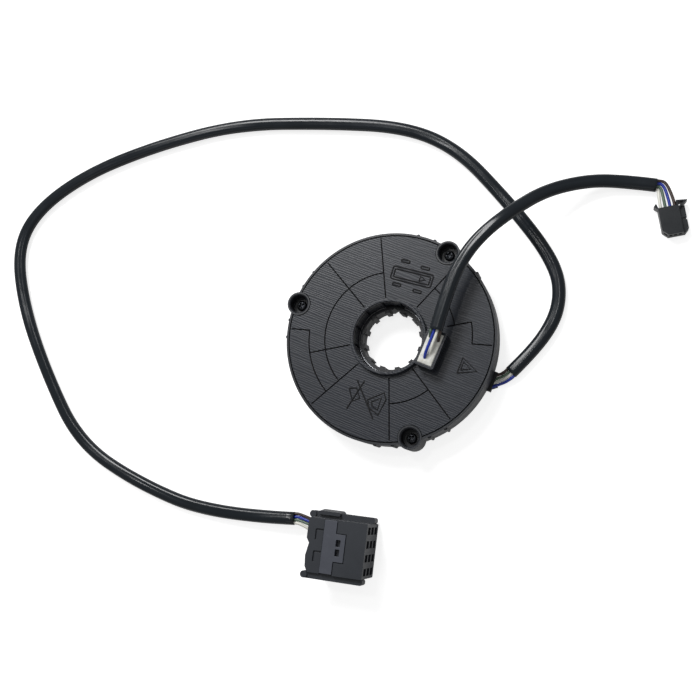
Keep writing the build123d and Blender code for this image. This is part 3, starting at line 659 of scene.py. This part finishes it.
# where a sleeve is pressed flatter: x and y near its centreline in millimetres, how much from
# 0 to 1, and over what length to either side
LONG_CREASES = [
    (-205.0, 48.0, 0.42, 22.0), (-186.0, -8.0, 0.3, 26.0), (-131.0, -61.0, 0.2, 9.0),
    (-100.0, -75.0, 0.16, 14.0), (22.0, 100.0, 0.2, 8.0), (60.0, 57.0, 0.22, 16.0),
    (75.0, 34.0, 0.3, 6.0), (73.0, 4.0, 0.2, 9.0), (-160.0, 102.0, 0.12, 14.0),
]
SHORT_CREASES = [
    (45.0, 42.5, 0.26, 7.0), (31.0, 22.0, 0.14, 9.0), (80.0, 66.0, 0.2, 16.0),
    (112.0, 68.5, 0.18, 9.0),
]
SLEEVE_SIDES = 40
SLEEVE_STEPS = 20
# the power of a sleeve's section: 1 is an ellipse, less is fuller at the corners
SLEEVE_POWER = 0.94
# a sleeve's mouth: how deep the rings of its inner wall lie, the set-back of its outer edge,
# and how much narrower its lip is, as a part of the wall
MOUTH_DEPTHS = (0.006, 0.0004, 0.0)
SET_BACK = 0.00012
LIP_PART = 0.4
# the dent along the top: its depth, what a full crease adds to it, and its place and width as
# parts of the sleeve's width
DENT = 0.00022
CREASE_DENT = 0.0004
DENT_PLACE = 0.08
DENT_WIDTH = 0.11


def sleeve(name, route, creases, settings, roll, seed):
    """A flattened vinyl sleeve along a route, open at both ends, creased and with uneven sides."""
    line = smooth_line(route, SLEEVE_STEPS)
    last = len(line) - 1
    reach = [0.0]
    for before, after in zip(line, line[1:]):
        reach.append(reach[-1] + (after - before).length)
    verts = []

    def frame_at(index):
        """The ways ahead, to the side and up at a point of the line."""
        ahead = (line[min(index + 1, last)] - line[max(index - 1, 0)]).normalized()
        side = Vector((0, 0, 1)).cross(ahead).normalized()
        return ahead, side, ahead.cross(side)

    def drift(index, rate, row):
        """A slow change along the cord, about -1 to 1."""
        return noise.noise(Vector((reach[index] * rate, seed, row)))

    def shape_at(index):
        """The section there: width, height, depth of the dent, and turn."""
        point = line[index]
        width = settings.sleeve_width * (1 + 0.02 * drift(index, 45, 7.0))
        height = settings.sleeve_height * (1 + 0.07 * drift(index, 38, 3.0))
        dent = DENT * (0.7 + 0.9 * drift(index, 22, 5.0))
        for x, y, depth, span in creases:
            away = math.hypot(point.x - x * MM, point.y - y * MM) / (span * MM)
            fold = depth * math.exp(-away * away)
            width *= 1 + 0.12 * fold
            height *= 1 - 0.4 * fold
            dent += CREASE_DENT * fold
        return width, height, max(dent, 0.0), roll * drift(index, 28, 0.3)

    def ring(index, shift, thinner, ripple):
        """One ring of points, moved along the cord and made narrower by lengths in metres."""
        ahead, side, up = frame_at(index)
        width, height, dent, turn = shape_at(index)
        width, height = width - thinner, height - thinner
        centre = line[index] + ahead * shift
        for k in range(SLEEVE_SIDES):
            angle = 2 * math.pi * k / SLEEVE_SIDES
            c, s = math.cos(angle), math.sin(angle)
            x = math.copysign(abs(c) ** SLEEVE_POWER, c) * width / 2
            y = math.copysign(abs(s) ** SLEEVE_POWER, s) * height / 2
            if s > 0:
                y -= dent * math.exp(-(((x - DENT_PLACE * width) / (DENT_WIDTH * width)) ** 2))
            place = Vector((c * 1.7, s * 1.7, centre.length * 60 + seed))
            wobble = 1 + ripple * noise.noise(place)
            x, y = x * wobble, y * wobble
            xr = x * math.cos(turn) - y * math.sin(turn)
            yr = x * math.sin(turn) + y * math.cos(turn)
            verts.append(centre + side * xr + up * yr)

    # inside of the first mouth, out to its lip, along the outside, and into the second mouth
    wall = settings.sleeve_wall
    for depth in MOUTH_DEPTHS:
        ring(0, depth, 2 * wall, 0.02)
    ring(0, 0.0, LIP_PART * wall, 0.02)
    for index in range(last + 1):
        shift = SET_BACK if index == 0 else -SET_BACK if index == last else 0.0
        ring(index, shift, 0.0, 0.03)
    ring(last, 0.0, LIP_PART * wall, 0.02)
    for depth in reversed(MOUTH_DEPTHS):
        ring(last, -depth, 2 * wall, 0.02)

    end = len(verts) - SLEEVE_SIDES
    faces = []
    for a in range(0, end, SLEEVE_SIDES):
        b = a + SLEEVE_SIDES
        for k in range(SLEEVE_SIDES):
            n = (k + 1) % SLEEVE_SIDES
            faces.append((a + k, a + n, b + n, b + k))
    faces.append(tuple(range(SLEEVE_SIDES)))
    faces.append(tuple(reversed(range(end, len(verts)))))
    piece = mesh_piece(name, verts, faces, finish_of("sleeve_pvc"), 50.0)
    return turned_outward(piece), line


def end_frame(tip, inner):
    """A sleeve's end in millimetres: its centre, the way out of it, and the way to its left."""
    tip = Vector(tip)
    out = (tip - Vector(inner)).normalized()
    return tip, out, Vector((0, 0, 1)).cross(out).normalized()


# the distance between wires side by side, and how far each runs on inside its sleeve
ROW = 1.45
WIRE_INSIDE = 4.0
# the lanes are places across a row of four, counted from its middle
OUTLET_LANE = {"brown": -1.5, "green": -0.5, "white": 0.5, "blue": 1.5}
OUTLET_ROW = 1.5
PLUG_LANE = {"brown": 1.5, "blue": 0.5, "green": -0.5, "white": -1.5}
# y and z in the large plug: where a wire goes in under its cover, and at its cavity
PLUG12_GATE = {"brown": (10.4, 9.5), "blue": (8.8, 8.4), "green": (7.2, 7.0), "white": (4.8, 6.0)}
PLUG12_SEAT = {
    "brown": (9.15, 16.7), "blue": (9.15, 10.5), "green": (9.15, 4.3), "white": (3.05, 4.3),
}
# where a wire goes into the compound: along the chimney in millimetres, and its lane
POTTING_WIRE = {
    "green": (4.6, 1.5), "blue": (-4.9, 0.5), "white": (-3.0, -0.5), "brown": (4.2, -1.5),
}
PLUG4_ROW = 2.05
PLUG4_HEIGHT = 3.41


def long_wire_paths(colour):
    """Both ends of one wire of the long cord: at the outlet, and at the twelve-way plug."""
    tip, out, left = end_frame(LONG_ROUTE[0], LONG_ROUTE[1])
    spot = tip + left * OUTLET_LANE[colour] * ROW
    lane = -OUTLET_LANE[colour] * OUTLET_ROW
    first = [
        point_at(OUTLET, -18.5, lane, 1.35),
        point_at(OUTLET, 1.9, lane, 1.4),
        spot + out * 2.0,
        spot,
        spot - out * WIRE_INSIDE,
    ]
    tip, out, left = end_frame(LONG_ROUTE[-1], LONG_ROUTE[-2])
    spot = tip + left * PLUG_LANE[colour] * ROW
    second = [
        spot - out * WIRE_INSIDE,
        spot,
        spot + out * 2.4,
        point_at(PLUG12, -28.1, *PLUG12_GATE[colour]),
        point_at(PLUG12, -22.4, *PLUG12_SEAT[colour]),
        point_at(PLUG12, -20.0, *PLUG12_SEAT[colour]),
    ]
    return [first, second]


def short_wire_paths(colour):
    """Both ends of one wire of the short cord: at the chimney, and at the four-way plug."""
    tip, out, left = end_frame(SHORT_ROUTE[0], SHORT_ROUTE[1])
    start, lane = POTTING_WIRE[colour]
    spot = tip - left * lane * ROW
    # the blue wire lies in the top of the compound, the others go down into it
    sunk = 0.45 if colour == "blue" else 0.9
    start = Vector(point_at(CHIMNEY, start, lane * ROW, POTTING_TOP - sunk))
    along = Vector((spot.x - start.x, spot.y - start.y, 0)).normalized()
    first = [
        start,
        start + along * 1.5 + Vector((0, 0, 2.4)),
        spot + out * 1.5,
        spot,
        spot - out * WIRE_INSIDE,
    ]
    tip, out, left = end_frame(SHORT_ROUTE[-1], SHORT_ROUTE[-2])
    spot = tip + left * PLUG_LANE[colour] * ROW
    lane = PLUG_LANE[colour] * PLUG4_ROW
    second = [
        spot - out * WIRE_INSIDE,
        spot,
        spot + out * (2.5 + PLUG_LANE[colour] * 0.87),
        point_at(PLUG4, -17.0, lane, PLUG4_HEIGHT),
        point_at(PLUG4, -13.0, lane, PLUG4_HEIGHT),
        point_at(PLUG4, -12.6, lane, PLUG4_HEIGHT),
    ]
    return [first, second]


def cord_wires(cord, body, paths_of, settings):
    """The four wires of a cord, each with both its seen ends as one piece."""
    wires = []
    for colour in COLOURS:
        slot = f"wire_{colour}"
        wire = strands(
            f"{cord}_wire_{colour}", paths_of(colour), settings.wire_radius,
            settings.wire_sides, finish_of(slot),
        )
        wires.append(placed(wire, body, slot, f"{cord}_cord_wire_{colour}"))
    return wires


class CLOCKSPRING_OT_long_cord(bpy.types.Operator):
    """Makes the long cord: its sleeve and the four wires at both ends"""

    bl_idname = "clockspring.long_cord"
    bl_label = "Long cord"

    def execute(self, context):
        settings = context.scene.clock_spring_sizes
        piece, line = sleeve("long_sleeve", LONG_ROUTE, LONG_CREASES, settings, 0.3, 11.0)
        placed(piece, "stator", "sleeve_pvc", "long_cord_sleeve")
        wires = cord_wires("long", "stator", long_wire_paths, settings)
        return {"FINISHED"}


class CLOCKSPRING_OT_short_cord(bpy.types.Operator):
    """Makes the short cord: its sleeve and the four wires at both ends"""

    bl_idname = "clockspring.short_cord"
    bl_label = "Short cord"

    def execute(self, context):
        settings = context.scene.clock_spring_sizes
        piece, line = sleeve("short_sleeve", SHORT_ROUTE, SHORT_CREASES, settings, 0.35, 4.0)
        placed(piece, "rotor", "sleeve_pvc", "short_cord_sleeve")
        wires = cord_wires("short", "rotor", short_wire_paths, settings)
        return {"FINISHED"}


# ---- the moulded pieces ----


def dress(context, rows):
    """Puts softened copies in the place of CAD nodes: node, name, body, slot, size of rounds."""
    width = context.scene.clock_spring_sizes.edge_round
    for node, name, body, slot, factor in rows:
        placed(softened_copy(node, name, width * factor, finish_of(slot)), body, slot, node)
    return {"FINISHED"}


class CLOCKSPRING_OT_moulded_shells(bpy.types.Operator):
    """Rounds the edges of the face disc, case ring and base, and gives them their plastics"""

    bl_idname = "clockspring.moulded_shells"
    bl_label = "Moulded shells"

    def execute(self, context):
        return dress(context, (
            ("top_cover", "face_disc", "rotor", "cover_plastic", 1.0),
            ("case_ring", "outer_ring", "rotor", "case_plastic", 1.0),
            ("base_plate", "base_and_hub", "stator", "base_plastic", 1.0),
        ))


class CLOCKSPRING_OT_plugs(bpy.types.Operator):
    """Rounds the edges of both plugs' mouldings and gives them their plastics"""

    bl_idname = "clockspring.plugs"
    bl_label = "Plugs"

    def execute(self, context):
        return dress(context, (
            ("plug12_housing", "large_plug_body", "stator", "plug12_plastic", 1.3),
            ("plug12_rear_cover", "large_plug_cover", "stator", "plug12_plastic", 1.3),
            ("plug12_lock", "large_plug_lock", "stator", "plug12_lock_plastic", 1.2),
            ("small_plug_housing", "small_plug_body", "rotor", "plug4_plastic", 1.3),
        ))


# CAD nodes that keep their own mesh, by their finish
PLAIN_NODES = {
    "base_plastic": ("outlet_cover",),
    "block_plastic": ("stator_terminal_block", "rotor_terminal_block"),
    "terminal_brass": (
        "stator_terminals", "rotor_terminals", "plug12_terminals", "small_plug_terminals",
    ),
    "slip_film": ("lower_slip_film", "upper_slip_film"),
    "clip_steel": ("retaining_ring",),
    "flat_cable": ("coiled_cable",),
}


class CLOCKSPRING_OT_inner_parts(bpy.types.Operator):
    """Gives the coil, blocks, terminals, films, clip and outlet strip their finishes"""

    bl_idname = "clockspring.inner_parts"
    bl_label = "Inner parts"

    def execute(self, context):
        for slot, nodes in PLAIN_NODES.items():
            for node in nodes:
                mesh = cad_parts[node].data
                mesh.materials.clear()
                mesh.materials.append(finish_of(slot))
        return {"FINISHED"}


# the screw head's outline from its centre outwards and down, then the shank: radius and height
SCREW_OUTLINE = [
    (0.0, 1.9), (0.9, 1.88), (1.5, 1.78), (1.95, 1.58), (2.25, 1.28), (2.4, 0.9), (2.45, 0.45),
    (2.45, 0.08), (2.38, 0.0), (1.4, 0.0), (1.4, -4.0), (1.05, -4.4), (0.0, -4.4),
]
SCREW_SIDES = 48
SCREW_ROUND = 0.00006
# a tapered bar of the cross recess, at its top and bottom: height, half its length and width
RECESS_BAR = ((2.3, 2.0, 0.62), (0.5, 0.9, 0.34))
BAR_FACES = [
    (0, 1, 2, 3), (7, 6, 5, 4), (0, 4, 5, 1), (1, 5, 6, 2), (2, 6, 7, 3), (3, 7, 4, 0),
]


def plain_screw(material):
    """The pan-head screw as a turned solid, before its recess is cut."""
    verts, faces = [], []
    for radius, height in SCREW_OUTLINE[1:-1]:
        for k in range(SCREW_SIDES):
            a = 2 * math.pi * k / SCREW_SIDES
            verts.append((radius * math.cos(a) * MM, radius * math.sin(a) * MM, height * MM))
    bottom = len(verts) - SCREW_SIDES
    for a in range(0, bottom, SCREW_SIDES):
        b = a + SCREW_SIDES
        for k in range(SCREW_SIDES):
            n = (k + 1) % SCREW_SIDES
            faces.append((a + k, b + k, b + n, a + n))
    top, end = len(verts), len(verts) + 1
    verts += [(0, 0, SCREW_OUTLINE[0][1] * MM), (0, 0, SCREW_OUTLINE[-1][1] * MM)]
    for k in range(SCREW_SIDES):
        n = (k + 1) % SCREW_SIDES
        faces.append((top, k, n))
        faces.append((end, bottom + n, bottom + k))
    return mesh_piece("screw_plain", verts, faces, material)


def recess_cutter(turn, material):
    """One tapered bar of the cross recess, turned by an angle in degrees."""
    c, s = math.cos(math.radians(turn)), math.sin(math.radians(turn))
    verts = []
    for height, long, wide in RECESS_BAR:
        for x, y in ((long, wide), (-long, wide), (-long, -wide), (long, -wide)):
            verts.append(((x * c - y * s) * MM, (x * s + y * c) * MM, height * MM))
    return mesh_piece(f"recess_{turn}", verts, BAR_FACES, material)


class CLOCKSPRING_OT_screws(bpy.types.Operator):
    """Makes one pan-head screw and sets it in each of the three bosses"""

    bl_idname = "clockspring.screws"
    bl_label = "Boss screws"

    def execute(self, context):
        material = finish_of("screw_steel")
        screw = plain_screw(material)
        cutters = [recess_cutter(turn, material) for turn in (0, 90)]
        for part in cutters:
            cut = screw.modifiers.new("recess", "BOOLEAN")
            cut.object = part
            cut.operation = "DIFFERENCE"
            cut.solver = "EXACT"
        rounded(screw, SCREW_ROUND, 40.0).use_clamp_overlap = False
        screw = baked(screw, "screw_shape")
        for part in cutters:
            bpy.data.objects.remove(part)
        bosses = [(0, 0, turn) for turn in BOSS_TURNS]
        places = [Vector(point_at(boss, BOSS_PITCH, 0, BOSS_FLOOR)) * MM for boss in bosses]
        points = bpy.data.meshes.new("screw_points")
        points.from_pydata(places, [], [])
        turns = points.attributes.new("turn", "FLOAT", "POINT")
        turns.data.foreach_set("value", [math.radians(turn) for turn in RECESS_TURNS])
        holder = link(bpy.data.objects.new("screw_points", points))
        tree, sockets = screw_tree(screw)
        values = {sockets["Screw"]: screw, sockets["Material"]: material}
        piece = shaped(holder, "boss_screws", tree, values)
        bpy.data.objects.remove(screw)
        placed(piece, "rotor", "screw_steel", "case_screws")
        return {"FINISHED"}


def potting_height(u, v):
    """The compound's top in millimetres: u along the chimney and v across it, from -1 to 1."""
    x, y = u * POTTING_HALF[0], v * POTTING_HALF[1]
    edge = min(1 - abs(u) ** 6, 1 - abs(v) ** 6)
    z = POTTING_TOP - POTTING_CROWN + POTTING_CROWN * max(edge, 0.0) ** 0.5
    z += 0.16 * noise.noise(Vector((x * 0.45, y * 0.7, 2.0)))
    z += 0.05 * noise.noise(Vector((x * 1.6, y * 1.9, 9.0)))
    # a soft step down the outer side, and the bed of the blue wire
    z -= 0.22 / (1 + math.exp((y + 1.3) * 3.5))
    bed = math.exp(-(((y - 0.72) / 0.75) ** 2)) / (1 + math.exp(-(x + 5.4) * 3))
    return z - 0.18 * bed


class CLOCKSPRING_OT_potting(bpy.types.Operator):
    """Makes the uneven, slightly crowned casting compound in the chimney"""

    bl_idname = "clockspring.potting"
    bl_label = "Chimney compound"

    def execute(self, context):
        along, across = 62, 30
        step = across + 1
        half_x, half_y = POTTING_HALF
        verts, faces = [], []
        for i in range(along + 1):
            for j in range(across + 1):
                u, v = 2 * i / along - 1, 2 * j / across - 1
                place = point_at(CHIMNEY, u * half_x, v * half_y, potting_height(u, v))
                verts.append(tuple(c * MM for c in place))
        for i in range(along):
            for j in range(across):
                a = i * step + j
                faces.append((a, a + step, a + step + 1, a + 1))
        rim = (
            [i * step for i in range(along + 1)]
            + [along * step + j for j in range(1, across + 1)]
            + [i * step + across for i in range(along - 1, -1, -1)]
            + list(range(across - 1, 0, -1))
        )
        low = {}
        for index in rim:
            low[index] = len(verts)
            x, y, _ = verts[index]
            verts.append((x, y, POTTING_LOW * MM))
        for a, b in zip(rim, rim[1:] + rim[:1]):
            faces.append((a, low[a], low[b], b))
        faces.append(tuple(low[i] for i in reversed(rim)))
        piece = mesh_piece("chimney_compound", verts, faces, finish_of("potting"), 55.0)
        placed(turned_outward(piece), "rotor", "potting", "chimney_potting")
        return {"FINISHED"}


# the signs' lines: along and across the card, then x and y on the face
CARD_DASHES = ((-5, 6.4), (5, 5.4), (-6, -5.3), (4.4, -6.1))
CARD_ARROW = ((3.9, -1.2), (6.7, 0.0), (3.9, 1.2), (3.9, -1.2))
FACE_LINES = [
    [(31.4, -18.1), (40.4, -17.8), (34.2, -11.1), (31.4, -18.1)],
    [(33.0, -16.7), (37.6, -16.6), (34.5, -13.2), (33.0, -16.7)],
    [(-20.5, -32.6), (-11.8, -20.0)],
    [(-15.3, -19.3), (-8.0, -37.8)],
    [(-19.1, -23.1), (-15.6, -23.1), (-14.2, -28.0), (-17.7, -29.1), (-19.1, -23.1)],
    [
        (-10.4, -28.7), (-2.5, -25.9), (-1.7, -29.1), (-5.6, -36.1), (-9.8, -32.6),
        (-10.4, -28.7),
    ],
    [(-8.6, -29.8), (-3.9, -28.2), (-5.8, -33.6), (-8.3, -31.9), (-8.6, -29.8)],
]
CORNER_STEPS = 4


def loop_points(place, half_long, half_wide, corner):
    """A closed rectangle with rounded corners on the face, at a turned place, in millimetres."""
    points = []
    for quarter, (sx, sy) in enumerate(((1, 1), (-1, 1), (-1, -1), (1, -1))):
        for step in range(CORNER_STEPS + 1):
            b = math.pi / 2 * (quarter + step / CORNER_STEPS)
            x = sx * (half_long - corner) + corner * math.cos(b)
            y = sy * (half_wide - corner) + corner * math.sin(b)
            points.append(point_at(place, x, y, FACE_TOP))
    return points + points[:1]


def mark_paths():
    """Plain signs on the face: a card with a triangle, a crossed sign and a warning triangle."""
    lines = [loop_points(CARD, 9.9, 3.1, 1.1), loop_points(CARD, 8.7, 1.95, 0.6)]
    for spot in CARD_DASHES:
        x, y, turn = point_at(CARD, *spot, CARD[2])
        lines.append(loop_points((x, y, turn), 2.0, 0.6, 0.5))
    lines.append([point_at(CARD, *spot, FACE_TOP) for spot in CARD_ARROW])
    return lines + [[(x, y, FACE_TOP) for x, y in line] for line in FACE_LINES]


class CLOCKSPRING_OT_face_marks(bpy.types.Operator):
    """Makes the thin raised lines of the plain signs on the face disc, painted near-black as shade
    """

    bl_idname = "clockspring.face_marks"
    bl_label = "Face marks"

    def execute(self, context):
        radius = context.scene.clock_spring_sizes.mark_radius
        # the raised lines are coloured near-black: painted shade
        material = finish_of("sign_plastic")
        piece = strands("face_marks", mark_paths(), radius, 10, material, "POLY")
        placed(piece, "rotor", "case_plastic")
        return {"FINISHED"}


# ---- the stage ----

FLOOR_HALF = 3.0
FLOOR_DEPTH = 2e-5
FLOOR_TONE = 0.6
FLOOR_GLOW = 0.76
FLOOR_MIRRORED = 0.3
SKY_LIGHT = 0.29
SKY_MIRRORED = 0.0
AIM = Vector((0.0, 0.01, 0.0))
# name, place, width, and power in watts
LIGHTS = (
    ("key_light", (-0.32, 0.7, 0.86), 0.44, 11.2),
    ("sleeve_light", (-0.13, 0.27, 1.2), 0.1, 0.85),
    ("front_light", (-0.3, -1.2, 1.0), 0.8, 0.9),
)
# the photo's camera: half the picture's width and the focal length, both in pixels
HALF_PICTURE = 350
FOCAL_LENGTH = 968.58
CAMERA_PLACE = (0.095004, -0.083618, 0.446826)
CAMERA_TURN = (0.9879479, 0.085958, 0.128063, -0.0130374)


def seen_by(tree, mirrored):
    """1 for rays that the camera sees, also through glass, and a share of it for mirrored ones."""
    path = tree.nodes.new("ShaderNodeLightPath").outputs
    seen = maths(tree, "MAXIMUM", path["Is Camera Ray"], path["Is Transmission Ray"])
    return maths(tree, "MAXIMUM", seen, maths(tree, "MULTIPLY", path["Is Glossy Ray"], mirrored))


def studio_floor():
    """White paper that the camera sees a little brighter, and that keeps the part's shadow."""
    h, z = FLOOR_HALF, -FLOOR_DEPTH
    floor = mesh_piece(
        "floor", [(-h, -h, z), (h, -h, z), (h, h, z), (-h, h, z)], [(0, 1, 2, 3)], None,
    )
    material = bpy.data.materials.new("studio_floor")
    tree, out = emptied_tree(material, "ShaderNodeOutputMaterial")
    paper = add_node(tree, "ShaderNodeBsdfDiffuse", {"Color": (*[FLOOR_TONE] * 3, 1.0)})
    strength = maths(tree, "MULTIPLY", seen_by(tree, FLOOR_MIRRORED), FLOOR_GLOW)
    glow = add_node(tree, "ShaderNodeEmission", {"Color": (1, 1, 1, 1), "Strength": strength})
    both = add_node(tree, "ShaderNodeAddShader", {0: paper.outputs[0], 1: glow.outputs[0]})
    feed(tree, out, {"Surface": both.outputs[0]})
    floor.data.materials.append(material)
    return floor


def studio_world():
    """An even sky that lights the part softly and that the camera sees as white."""
    world = bpy.data.worlds.new("studio")
    tree, out = emptied_tree(world, "ShaderNodeOutputWorld")
    strength = ranged(tree, seen_by(tree, SKY_MIRRORED), SKY_LIGHT, 1.0, 0.0, 1.0)
    sky = add_node(tree, "ShaderNodeBackground", {"Color": (1, 1, 1, 1), "Strength": strength})
    feed(tree, out, {"Surface": sky.outputs[0]})
    return world


def stand(obj, place, turn):
    """Puts a lamp or camera into the scene at a place, turned by a quaternion."""
    link(obj)
    obj.location = place
    obj.rotation_mode = "QUATERNION"
    obj.rotation_quaternion = turn
    return obj


class CLOCKSPRING_OT_stage(bpy.types.Operator):
    """Sets the floor, the soft studio lights and the camera"""

    bl_idname = "clockspring.stage"
    bl_label = "Stage"

    def execute(self, context):
        scene = context.scene
        studio_floor()
        scene.world = studio_world()
        for name, place, width, power in LIGHTS:
            data = bpy.data.lights.new(name, "AREA")
            data.shape = "SQUARE"
            data.size = width
            data.energy = power
            turn = (AIM - Vector(place)).to_track_quat("-Z", "Y")
            stand(bpy.data.objects.new(name, data), place, turn)
        data = bpy.data.cameras.new("photo_camera")
        data.sensor_fit = "HORIZONTAL"
        data.angle = 2 * math.atan(HALF_PICTURE / FOCAL_LENGTH)
        data.clip_start = 0.01
        camera = bpy.data.objects.new("photo_camera", data)
        scene.camera = stand(camera, CAMERA_PLACE, Quaternion(CAMERA_TURN))
        scene.view_settings.view_transform = "Standard"
        return {"FINISHED"}


OPERATORS = (
    CLOCKSPRING_OT_stage,
    CLOCKSPRING_OT_inner_parts,
    CLOCKSPRING_OT_moulded_shells,
    CLOCKSPRING_OT_plugs,
    CLOCKSPRING_OT_long_cord,
    CLOCKSPRING_OT_short_cord,
    CLOCKSPRING_OT_screws,
    CLOCKSPRING_OT_potting,
    CLOCKSPRING_OT_face_marks,
)


class CLOCKSPRING_PT_sidebar(bpy.types.Panel):
    """Lists the pieces of the clock spring in the sidebar"""

    bl_label = "Clock Spring"
    bl_idname = "CLOCKSPRING_PT_sidebar"
    bl_space_type = "VIEW_3D"
    bl_region_type = "UI"
    bl_category = "Clock Spring"

    def draw(self, context):
        layout = self.layout
        for settings in (context.scene.clock_spring_sizes, context.scene.clock_spring_colours):
            box = layout.box()
            for name in settings.__annotations__:
                box.prop(settings, name)
        for operator in OPERATORS:
            layout.operator(operator.bl_idname)


CLASSES = (ClockSpringSizes, ClockSpringColours, *OPERATORS, CLOCKSPRING_PT_sidebar)


def register():
    for cls in CLASSES:
        bpy.utils.register_class(cls)
    bpy.types.Scene.clock_spring_sizes = PointerProperty(type=ClockSpringSizes)
    bpy.types.Scene.clock_spring_colours = PointerProperty(type=ClockSpringColours)


def unregister():
    del bpy.types.Scene.clock_spring_colours
    del bpy.types.Scene.clock_spring_sizes
    for cls in reversed(CLASSES):
        bpy.utils.unregister_class(cls)


def main():
    """Makes every piece in order."""
    register()
    for operator in OPERATORS:
        area, name = operator.bl_idname.split(".")
        getattr(getattr(bpy.ops, area), name)()


if __name__ == "__main__":
    main()
